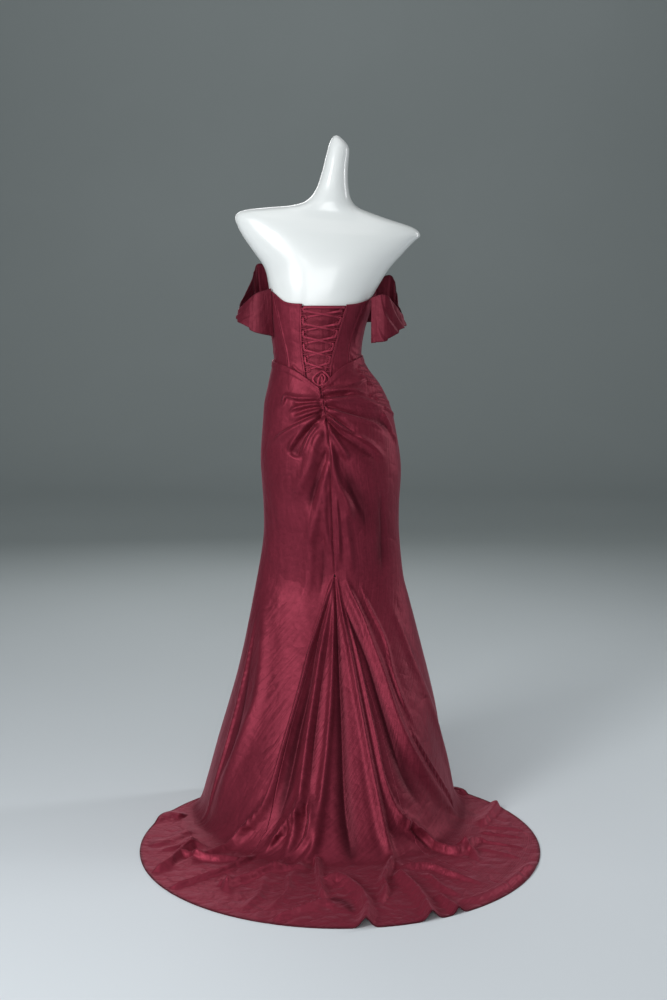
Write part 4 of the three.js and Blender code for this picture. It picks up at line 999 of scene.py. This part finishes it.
@dataclass
class Bodice:
    """The corset: panels between seams, a bound edge on each side of the lacing, and the panel behind."""

    satin: Satin
    # A darker copy of the satin for the panel behind the lacing: painted shade.
    shaded_panel_satin: Satin
    wall: float = 2
    modesty_wall: float = 1.5
    modesty_gap: float = 0.8
    modesty_tuck: float = 7
    seam: float = 0.3
    bottom: float = 1035
    cloth_top: float = 1400
    columns: int = 44
    rows: int = 76
    seam_roll: float = 1.6
    bound_width: float = 5.5
    bound_height: float = 1.1

    @staticmethod
    def edge(seam: str, z: Field) -> Field:
        """A seam's angle at a height, from its name in the table or its fixed angle."""
        if seam in BODICE_SEAMS.names:
            return BODICE_SEAMS.curve(seam, z)
        return np.full_like(z, float(seam))

    @staticmethod
    def neckline(angle: Field) -> Field:
        """Height of the top edge."""
        return NECKLINE.curve("z", (angle + 90) % 360 - 90)

    def relief(self, base: Field, angle: Field) -> Field:
        """The height of the strained wrinkles."""
        normals = np.stack([np.cos(np.radians(angle)), np.sin(np.radians(angle)), 0 * angle], axis=-1)
        height = np.zeros(len(base))
        for fold in BODICE_FOLDS:
            angles, z = fold_line(fold.places)
            line = FIGURE.polar(angles, FIGURE.bodice_reach(angles, z), z)
            height += fold.relief(line, base, normals)
        return np.maximum(height, -0.9)

    def place(self, part: BodicePart) -> Place:
        """A function that places one panel's points."""
        _, first, last = part.value

        def placed(u: Field, v: Field) -> tuple[Field, Field]:
            """Points of the panel's outer face."""
            z = np.full_like(u, self.bottom + 120)
            for _ in range(3):
                gap = np.degrees(self.seam / 2 / FIGURE.reach(FORM, self.edge(first, z), z))
                angle = mix(self.edge(first, z) + gap, self.edge(last, z) - gap, u)
                z = mix(self.neckline(angle), self.bottom, v)
            reach = FIGURE.bodice_reach(angle, z)
            base = FIGURE.polar(angle, reach, z)
            width = np.radians(self.edge(last, z) - self.edge(first, z)) * reach
            off = np.minimum(u, 1 - u) * width
            seamed = self.seam_roll * np.exp(-(((off - 1.5) / 1.1) ** 2)) - 0.4 * np.exp(-off / 0.5)
            laced = "laced" in first or "laced" in last
            to_lacing = np.where("laced" in last, 1 - u, u) * width
            turned = self.bound_width - 0.8, self.bound_width + 0.8
            bound = self.bound_height * (1 - smooth(to_lacing, *turned))
            top = self.neckline(angle) - z
            binding = 0.9 * (1 - smooth(top, 4.2, 5.4)) - 0.8 * np.exp(-top / 0.8)
            lift = self.relief(base, angle) + binding + seamed + (bound if laced else 0)
            points = FIGURE.polar(angle, reach + self.wall + lift, z)
            across, down = np.radians(angle) * reach, self.cloth_top - z
            return points, np.stack([across * MM, down * MM, 0.25 * np.exp(-off / 0.6)], axis=-1)

        return placed

    def build(self, lacing: dict[str, list[bpy.types.Object]]) -> None:
        """Makes the panels and the panel behind the lacing.

        Args:
            lacing: the laces and tapes on each back panel, by its node; not used.
        """
        satin, shaded_panel_satin = self.satin.material(), self.shaded_panel_satin.material()
        cuts = {
            BodicePart.FRONT_SIDE_L: Cut(0.13, 0.275, 0.0330),
            BodicePart.BACK_SIDE_L: Cut(0.10, 0.265, 0.0190),
            BodicePart.BACK_L: Cut(0.10, 0.240, 0.0150),
            BodicePart.BACK_R: Cut(0.10, 0.240, 0.0140),
            BodicePart.BACK_SIDE_R: Cut(0.10, 0.255, 0.0180),
            BodicePart.FRONT_SIDE_R: Cut(0.13, 0.275, 0.0320),
            BodicePart.FRONT_CENTRE: Cut(0.19, 0.285, 0.0440),
        }
        grid = np.linspace(0, 1, self.columns), np.linspace(0, 1, self.rows)
        for part, cut in cuts.items():
            node = part.value[0]
            piece = cloth_piece(f"{node}_satin", *grid, self.place(part), self.wall)
            declare(piece, [node], satin)
        grid = np.linspace(0, 1, 36), np.linspace(0, 1, 60)
        panel = cloth_piece("modesty_panel_satin", *grid, self.modesty_place, self.modesty_wall)
        declare(panel, ["modesty_panel"], shaded_panel_satin)

    def modesty_place(self, u: Field, v: Field) -> tuple[Field, Field]:
        """Points of the panel behind the lacing, slightly crumpled by the pull of the laces."""
        z = mix(float(self.neckline(np.array(CENTRE_BACK))) - 3, self.bottom, v)
        tuck = self.modesty_tuck
        angle = mix(self.edge("laced_l", z) - tuck, self.edge("laced_r", z) + tuck, u)
        ripple = 0.35 * np.sin(2 * math.pi * z / 17 + 3 * u) * np.sin(math.pi * u)
        reach = FIGURE.reach(FORM, angle, z) + self.modesty_gap + self.modesty_wall
        points = FIGURE.polar(angle, reach + ripple, z)
        return points, np.stack([np.radians(angle) * reach * MM, (self.cloth_top - z) * MM, 0 * z], axis=-1)


@dataclass
class Lacing:
    """Two laces that cross between cord loops on the two laced edges."""

    satin: Satin
    rows: int = 10
    top: float = 1247
    bottom: float = 1107
    bar: float = 8
    width: float = 4.8
    thick: float = 1.2
    low: float = 4.1
    high: float = 8.4
    arc: float = 2.6
    loop_height: float = 6.6
    cord: float = 0.85
    loop_reach: float = 11
    loop_half: float = 6
    tape_width: float = 5
    steps: int = 8
    clear: float = 0.3
    tucked_ends: tuple[tuple[tuple[float, float, float], ...], ...] = (
        (
            (40, 1106, 8), (54, 1098, 10), (63, 1086, 10), (58, 1074, 9),
            (47, 1070, 8), (42, 1078, 9), (44, 1092, 8),
        ),
        ((42, 1104, 9), (33, 1096, 11), (27, 1085, 10), (33, 1075, 9), (42, 1072, 9), (44, 1084, 8)),
        ((43, 1098, 8), (50, 1086, 9), (52, 1072, 7), (49, 1060, 4.5)),
        ((42, 1098, 8), (36, 1088, 9), (40, 1074, 8), (44, 1062, 4.5)),
    )

    def row_height(self, row: int) -> float:
        """The height of a pair of loops."""
        return mix(self.top, self.bottom, row / (self.rows - 1))

    def inside(self, side: int, z: float) -> float:
        """Where a lace's middle runs down through the loops of one side."""
        inset = self.width / 2 + 3 * self.clear
        return float(FIGURE.laced_edge(side, np.array(z))) - side * inset

    def stations(self, side: int, over_first: bool) -> list[tuple[float, float, float]]:
        """Places of one lace across, up and over the form, from the top loop to the last one."""
        spots: list[tuple[float, float, float]] = []
        if over_first:
            z = self.top + self.bar
            end = self.inside(side, z)
            start = self.inside(-side, z)
            for t in (0, 0.25, 0.5, 0.75, 0.94):
                spots.append((mix(start, end - side * self.arc, t), z, self.high))
            spots.append((end - side * 0.6, z - self.arc * 0.6, self.high))
        for row in range(0, self.rows, 2):
            z, next_z = self.row_height(row), self.row_height(row + 1)
            x = self.inside(side, z) - side * self.arc
            next_x = self.inside(-side, next_z) + side * self.arc
            if row > 0 or over_first:
                spots.append((self.inside(side, z), z + self.arc, self.high))
                spots.append((self.inside(side, z) - side * 0.6, z + 0.4, self.high))
            over = over_first == (row % 4 == 0)
            for t in np.linspace(0, 1, self.steps + 1):
                drop = float(smooth(t, 0.68, 0.9) if over else smooth(t, 0.1, 0.32))
                spots.append((mix(x, next_x, t), mix(z, next_z, t), mix(self.high, self.low, drop)))
            side = -side
            if row + 2 < self.rows:
                turn = self.inside(side, next_z) - side * 0.6
                spots.append((turn, next_z - 0.4, (self.low + self.high) / 2))
                below = next_z - self.arc
                spots.append((self.inside(side, below), below, self.high))
        return spots

    def over_back(self, spots: Sequence[tuple[float, float, float]], per_span: int) -> tuple[Field, Field]:
        """A smooth line over the back through places across, up and over it, and its up directions."""
        at = np.linspace(0, len(spots) - 1, (len(spots) - 1) * per_span + 1)
        x, z, lift = (through([spot[k] for spot in spots], at) for k in range(3))
        angle = np.radians(FIGURE.back_angle(x, z))
        up = np.stack([np.cos(angle), np.sin(angle), 0 * angle], axis=-1)
        return FIGURE.on_back(x, z, lift), up

    def build(self) -> dict[str, list[bpy.types.Object]]:
        """Makes the laces and the tapes with their loops.

        Returns:
            The lace and the tape that go with each of the two back panels, by the panel's node.
        """
        material = self.satin.material()
        panels: dict[str, list[bpy.types.Object]] = {"bodice_back_l": [], "bodice_back_r": []}
        for name, panel, side, over_first in (
            ("lace_a", "bodice_back_l", 1, True),
            ("lace_b", "bodice_back_r", -1, False),
        ):
            bm = bmesh.new()
            path, up = self.over_back(self.stations(side, over_first), 3)
            cloth = [swept(bm, path, up, (self.width / 2, self.thick / 2), 12)]
            for spots in self.tucked_ends[0 if over_first else 1 :: 2]:
                path, up = self.over_back(spots, 8)
                cloth.append(swept(bm, path, up, (self.width / 2, self.thick / 2), 12))
            piece = finish_mesh(f"{name}_satin", bm, np.concatenate(cloth))
            panels[panel].append(declare(piece, [name], material))
        for name, panel, side in (("loop_tape_l", "bodice_back_l", 1), ("loop_tape_r", "bodice_back_r", -1)):
            bm = bmesh.new()
            cloth = [self.add_tape(bm, side)]
            cloth += [self.add_loop(bm, side, self.row_height(row)) for row in range(self.rows)]
            piece = finish_mesh(f"{name}_satin", bm, np.concatenate(cloth))
            panels[panel].append(declare(piece, [name], material))
        return panels

    def add_tape(self, bm: bmesh.types.BMesh, side: int) -> Field:
        """Adds the narrow tape that the loops are sewn to."""
        z = np.linspace(self.top + self.loop_half, self.bottom - self.loop_half, 90)
        x = FIGURE.laced_edge(side, z) + side * (0.4 + self.tape_width) / 2
        angle = np.radians(FIGURE.back_angle(x, z))
        up = np.stack([np.cos(angle), np.sin(angle), 0 * angle], axis=-1)
        path = FIGURE.on_back(x, z, FIGURE.laced_lift + 2 + 3 * self.clear + 0.5)
        return swept(bm, path, up, ((self.tape_width - 0.4) / 2, 0.5), 12)

    def add_loop(self, bm: bmesh.types.BMesh, side: int, z: float) -> Field:
        """Adds one cord loop that stands out from the edge."""
        edge = float(FIGURE.laced_edge(side, np.array(z)))
        root = edge + side * (self.tape_width - 1.5)
        spots = [(root, z - self.loop_half + 1, self.loop_height)]
        for turn in np.radians(np.linspace(-90, 90, 5)):
            tip = self.loop_reach - self.loop_half + self.loop_half * math.cos(turn)
            spots.append((edge - side * tip, z + (self.loop_half - 1) * math.sin(turn), self.loop_height))
        spots.append((root, z + self.loop_half - 1, self.loop_height))
        path, up = self.over_back(spots, 4)
        return swept(bm, path, up, (self.cord, self.cord), 8)


@dataclass(frozen=True)
class SleeveShape:
    """One draped sleeve: its two ends on the bodice, and stations between them in plan.

    Ends are (angle, top, bottom, hang), where a hang of 0 follows the bodice down and 1 falls
    straight, and stations are (x, y, top, bottom). The pleats are faint from the back end to calm,
    and step is how far each lower edge drops past the next one.
    """

    node: str
    back: tuple[float, float, float, float]
    front: tuple[float, float, float, float]
    stations: tuple[tuple[float, float, float, float], ...]
    facing: int
    pleats: float
    slant: float
    depth: float
    calm: float
    step: float
    cut: Cut


@dataclass
class Sleeves:
    """The two off-shoulder sleeves, bands of satin in knife pleats that hang from the bodice's top."""

    satin: Satin
    wall: float = 2
    end_gap: float = 1.3
    flare: float = 10
    columns: int = 210
    rows: int = 56
    shapes: tuple[SleeveShape, ...] = (
        SleeveShape(
            node="sleeve_l",
            back=(19, 1300, 1183, 0),
            front=(-38, 1312, 1236, 0),
            stations=(
                (204, -250, 1287, 1197),
                (243, -284, 1256, 1226),
                (216, -326, 1320, 1232),
                (196, -352, 1361, 1236),
            ),
            facing=-1,
            pleats=8,
            slant=-1.6,
            depth=5.0,
            calm=0.36,
            step=6.0,
            cut=Cut(0.28, 0.10, 0.0235),
        ),
        SleeveShape(
            node="sleeve_r",
            back=(162, 1279, 1168, 1),
            front=(218, 1300, 1216, 0),
            stations=(
                (-112, -250, 1284, 1176),
                (-150, -286, 1240, 1208),
                (-144, -325, 1262, 1212),
                (-127, -357, 1332, 1216),
            ),
            facing=1,
            pleats=11,
            slant=-1.1,
            depth=4.6,
            calm=0.05,
            step=5.0,
            cut=Cut(0.26, 0.10, 0.0225),
        ),
    )

    def path(self, shape: SleeveShape, t: Field, v: Field) -> Field:
        """Points of the sleeve's smooth middle, from its back end at t 0 to its front end at 1."""
        spot = t * (len(shape.stations) + 1)
        tops = [shape.back[1], *(s[2] for s in shape.stations), shape.front[1]]
        bottoms = [shape.back[2], *(s[3] for s in shape.stations), shape.front[2]]
        z = mix(through(tops, spot), through(bottoms, spot), v)
        ends = []
        for angle, top, _, hang in (shape.back, shape.front):
            a, level = np.full_like(z, angle), mix(z, top, hang)
            ends.append(FIGURE.polar(a, FIGURE.bodice_reach(a, level) + self.wall + self.end_gap, level))
        xs = [ends[0][:, 0], *(s[0] for s in shape.stations), ends[1][:, 0]]
        ys = [ends[0][:, 1], *(s[1] for s in shape.stations), ends[1][:, 1]]
        return np.stack([through(xs, spot), through(ys, spot), z], axis=-1)

    def place(self, shape: SleeveShape) -> Place:
        """A function that places one sleeve's points."""

        def placed(u: Field, v: Field) -> tuple[Field, Field]:
            """Points of the sleeve's outer face."""
            point = self.path(shape, u, v)
            before, after = (self.path(shape, np.clip(u + shift, 0, 1), v) for shift in (-0.02, 0.02))
            out = unit(np.cross(after - before, np.array([0.0, 0.0, 1.0]))) * shape.facing
            belly = np.clip(np.sin(math.pi * u), 0, 1) ** 0.7
            uneven = 0.35 * np.sin(7 * u + 2 * v) + 0.2 * np.sin(17 * u)
            phase = (shape.pleats * u + shape.slant * v + uneven) % 1
            pleat = np.where(phase < 0.82, phase / 0.82, (1 - phase) / 0.18) - 0.5
            strength = mix(0.3, 1.0, smooth(u, shape.calm, shape.calm + 0.12)) * mix(0.45, 1.0, v)
            lift = belly * (shape.depth * pleat * strength + self.flare * v) + self.wall / 2
            point[:, 2] -= shape.step * belly * (phase - 0.5) * smooth(v, 0.75, 1.0)
            edge = np.exp(-v / 0.02) + np.exp(-(1 - v) / 0.02)
            cloth = np.stack([u * shape.cut.width, v * shape.cut.length, 0.6 * edge], axis=-1)
            return point + out * lift[:, None], cloth

        return placed

    def build(self) -> None:
        """Makes both sleeves."""
        material = self.satin.material()
        for shape in self.shapes:
            grid = np.linspace(0, 1, self.columns)[:: shape.facing], np.linspace(0, 1, self.rows)
            piece = cloth_piece(f"{shape.node}_satin", *grid, self.place(shape), self.wall)
            declare(piece, [shape.node], material)


class SkirtPart(Enum):
    """The skirt's pieces: node name and how many columns each has."""

    FRONT = ("skirt_front", 150)
    BACK_L = ("skirt_back_l", 205)
    BACK_R = ("skirt_back_r", 205)
    GODET = ("godet", 190)


@dataclass
class Skirt:
    """The fishtail skirt: front, two back pieces gathered into the centre-back seam, and the godet."""

    satin: Satin
    length: float = 1.55
    hips: int = 92
    thighs: int = 32
    flare: int = 36
    turn: int = 18
    train: int = 48

    def rows(self) -> Field:
        """Shares of the way down for every row, closer where the folds are small."""
        bands = (
            (0, 0.17, self.hips),
            (0.17, 0.34, self.thighs),
            (0.34, CLOTH.fall, self.flare),
            (CLOTH.fall, CLOTH.turn, self.turn),
            (CLOTH.turn, 0.985, self.train - 6),
            (0.985, 1, 6),
        )
        parts = [np.linspace(low, high, count, endpoint=False) for low, high, count in bands]
        return np.concatenate([*parts, [1.0]])

    def edges(self, part: SkirtPart, share: Field) -> tuple[Field, Field]:
        """The angles of a piece's two edges, seams' gaps taken off."""
        half = CLOTH.godet_half(share)
        middle = np.full_like(share, CENTRE_BACK)
        opened = (share > CLOTH.fall) | (CLOTH.base(middle, share)[..., 2] < CLOTH.apex_height)
        open_half = np.where(opened, half, CLOTH.gap(middle, share))
        match part:
            case SkirtPart.FRONT:
                side = CLOTH.gap(np.full_like(share, 180.0), share)
                return 180 + side, 360 - side
            case SkirtPart.BACK_L:
                side = CLOTH.gap(np.zeros_like(share), share)
                return side, CENTRE_BACK - open_half
            case SkirtPart.BACK_R:
                side = CLOTH.gap(np.full_like(share, 180.0), share)
                return CENTRE_BACK + open_half, 180 - side
            case _:
                return CENTRE_BACK - half, CENTRE_BACK + half

    def place(self, part: SkirtPart) -> Place:
        """A function that places one piece's points."""

        def placed(u: Field, share: Field) -> tuple[Field, Field]:
            """Points of the piece's outer face."""
            first, last = self.edges(part, share)
            angle = mix(first, last, u)
            points, crease_shade = CLOTH.outer(angle, share)
            across = points[:, :2] - np.stack([FIGURE.axis(points[:, 2]), 0 * share + FIGURE.axis_y], axis=-1)
            distance = np.hypot(across[:, 0], across[:, 1])
            to_hem = (1 - share) * (CLOTH.hem(angle) - 260) * 4
            edge = 0.8 * np.exp(-((to_hem / 7) ** 2)) * (share > CLOTH.turn)
            # Darker near the hem on the floor, and painted shade in the creases, carried as the cloth
            # attribute's third value.
            hem_dark_and_crease_shade = np.maximum(edge, 0.62 * crease_shade)
            return points, np.stack([np.radians(angle) * distance * MM, share * self.length, hem_dark_and_crease_shade], axis=-1)

        return placed

    def build(self) -> None:
        """Makes the four pieces."""
        material = self.satin.material()
        cuts = {
            SkirtPart.FRONT: Cut(1.05, 1.20, 0.85),
            SkirtPart.BACK_L: Cut(0.80, 1.55, 0.44),
            SkirtPart.BACK_R: Cut(0.80, 1.55, 0.44),
            SkirtPart.GODET: Cut(0.95, 1.05, 0.48),
        }
        rows = self.rows()
        for part, cut in cuts.items():
            node, columns = part.value
            share = rows
            if part is SkirtPart.GODET:
                share = rows[CLOTH.base(np.full_like(rows, CENTRE_BACK), rows)[:, 2] < CLOTH.apex_height]
            across = np.linspace(0, 1, columns)
            piece = cloth_piece(f"{node}_satin", across, share, self.place(part), CLOTH.wall)
            declare(piece, [node], material)


@dataclass(frozen=True)
class Lamp:
    """A soft rectangular studio light: its place and aim in metres, its size and its power in watts."""

    name: str
    place: tuple[float, float, float]
    aim: tuple[float, float, float]
    size: tuple[float, float]
    power: float

    def build(self) -> None:
        """Hangs the light."""
        data = bpy.data.lights.new(self.name, "AREA")
        data.shape = "RECTANGLE"
        data.size, data.size_y = self.size
        data.energy = self.power
        lamp = bpy.data.objects.new(self.name, data)
        lamp.location = self.place
        towards = np.array(self.aim) - np.array(self.place)
        lamp.rotation_euler = Vector(towards.tolist()).to_track_quat("-Z", "Y").to_euler()
        bpy.context.scene.collection.objects.link(lamp)


@dataclass(frozen=True)
class Studio:
    """The pale floor that rises into a backdrop, the soft lights and the camera."""

    camera_place: tuple[float, float, float] = (0.015, 3.306, 1.30)
    pitch_down: float = 8.25
    lens: float = 52.56
    floor_half: float = 9.0
    front_edge: float = 5.0
    sheet_length: float = 21.0
    wall_from: float = -6.0
    wall_bend: float = 2.5
    floor_colour: Colour = (0.645, 0.69, 0.725, 1)
    wall_colour: Colour = (0.30, 0.335, 0.335, 1)
    air_colour: Colour = (0.60, 0.66, 0.70, 1)
    air_strength: float = 0.21
    lamps: tuple[Lamp, ...] = (
        Lamp("key_softbox", (2.5, 2.7, 2.2), (0.0, -0.1, 0.5), (1.2, 1.6), 112),
        Lamp("right_softbox", (-2.7, -1.1, 1.6), (0.0, -0.3, 0.8), (0.3, 2.2), 30),
        Lamp("top_softbox", (0.0, 0.3, 3.8), (0.0, 0.0, 0.0), (2.4, 2.4), 22),
        Lamp("low_softbox", (0.5, 4.3, 1.5), (0.0, -0.1, 0.25), (2.6, 1.4), 66),
        Lamp("front_softbox", (0.6, -3.4, 2.2), (0.0, -0.3, 0.9), (1.8, 1.8), 24),
        Lamp("backdrop_softbox", (0.0, -3.4, 5.0), (0.0, -8.4, 2.0), (6.0, 1.0), 84),
    )

    def camera(self) -> None:
        """Sets the camera where the photograph was taken from."""
        data = bpy.data.cameras.new("photo_camera")
        data.lens = self.lens
        data.clip_end = 60
        camera = bpy.data.objects.new("photo_camera", data)
        camera.location = self.camera_place
        camera.rotation_euler = (math.radians(90 - self.pitch_down), 0, math.pi)
        bpy.context.scene.collection.objects.link(camera)
        bpy.context.scene.camera = camera

    def backdrop_material(self) -> bpy.types.Material:
        """Matt paper, pale on the floor and greyer up the wall."""
        g = Graph("studio_paper")
        place = g.node("ShaderNodeTexCoord", {}, {}, "Object")
        y = g.node("ShaderNodeSeparateXYZ", {}, {"Vector": place}, "Y")
        far = g.node("ShaderNodeMapRange", {}, {"Value": y, "From Min": 0.2, "From Max": -4.2})
        mottle = g.noise(place, 0.8, 3)
        colour = g.blend(far + (mottle - 0.5) * 0.12, self.floor_colour, self.wall_colour)
        return g.surface({"Base Color": colour, "Roughness": 0.72, "Specular IOR Level": 0.25})

    def build(self) -> None:
        """Makes the backdrop and hangs the lights."""
        bm = bmesh.new()
        bmesh.ops.create_grid(bm, x_segments=8, y_segments=80, size=1)
        flat = flat_places(bm)
        y = self.front_edge - (1 - flat[:, 1]) / 2 * self.sheet_length
        past = np.maximum(self.wall_from - y, 0)
        turn = np.clip(past / self.wall_bend, 0, math.pi / 2)
        rise = self.wall_bend * (1 - np.cos(turn)) + np.maximum(past - self.wall_bend * math.pi / 2, 0)
        y = np.where(past > 0, self.wall_from - self.wall_bend * np.sin(turn), y)
        move(bm, np.stack([flat[:, 0] * self.floor_half, y, rise], axis=-1) / MM)
        floor = finish_mesh("floor", bm)
        floor.data.materials.append(self.backdrop_material())
        for lamp in self.lamps:
            lamp.build()
        world = bpy.data.worlds.new("studio_air")
        world.use_nodes = True
        background = world.node_tree.nodes["Background"]
        background.inputs["Color"].default_value = self.air_colour
        background.inputs["Strength"].default_value = self.air_strength
        bpy.context.scene.world = world
        bpy.context.scene.view_settings.view_transform = "Standard"


def main() -> None:
    """Builds the studio, the form and the dress, from the inside out."""
    logging.basicConfig(level=logging.INFO, format="%(name)s: %(message)s")
    studio = Studio()
    studio.camera()
    studio.build()
    satin = Satin("burgundy_satin")
    # A darker copy of the satin for the panel behind the lacing: painted shade.
    shaded_panel_satin = Satin("shaded_satin", (0.075, 0.0080, 0.0160, 1), (0.150, 0.0160, 0.0300, 1), roughness=0.42)
    # A darker copy of the satin for the sleeves: painted shade.
    shaded_sleeve_satin = Satin("sleeve_satin_painted_shade", (0.060, 0.0062, 0.0125, 1), (0.150, 0.0170, 0.0320, 1), lustre=0.34)
    ribbon = Satin("lacing_satin", (0.180, 0.0200, 0.0380, 1), (0.300, 0.0390, 0.0680, 1))
    DressForm(Shell("gloss_shell"), Shell("white_enamel", (0.66, 0.66, 0.64, 1), 0.38, 0.2)).build()
    Bodice(satin, shaded_panel_satin).build(Lacing(ribbon).build())
    Sleeves(shaded_sleeve_satin).build()
    Skirt(satin).build()


if __name__ == "__main__":
    main()
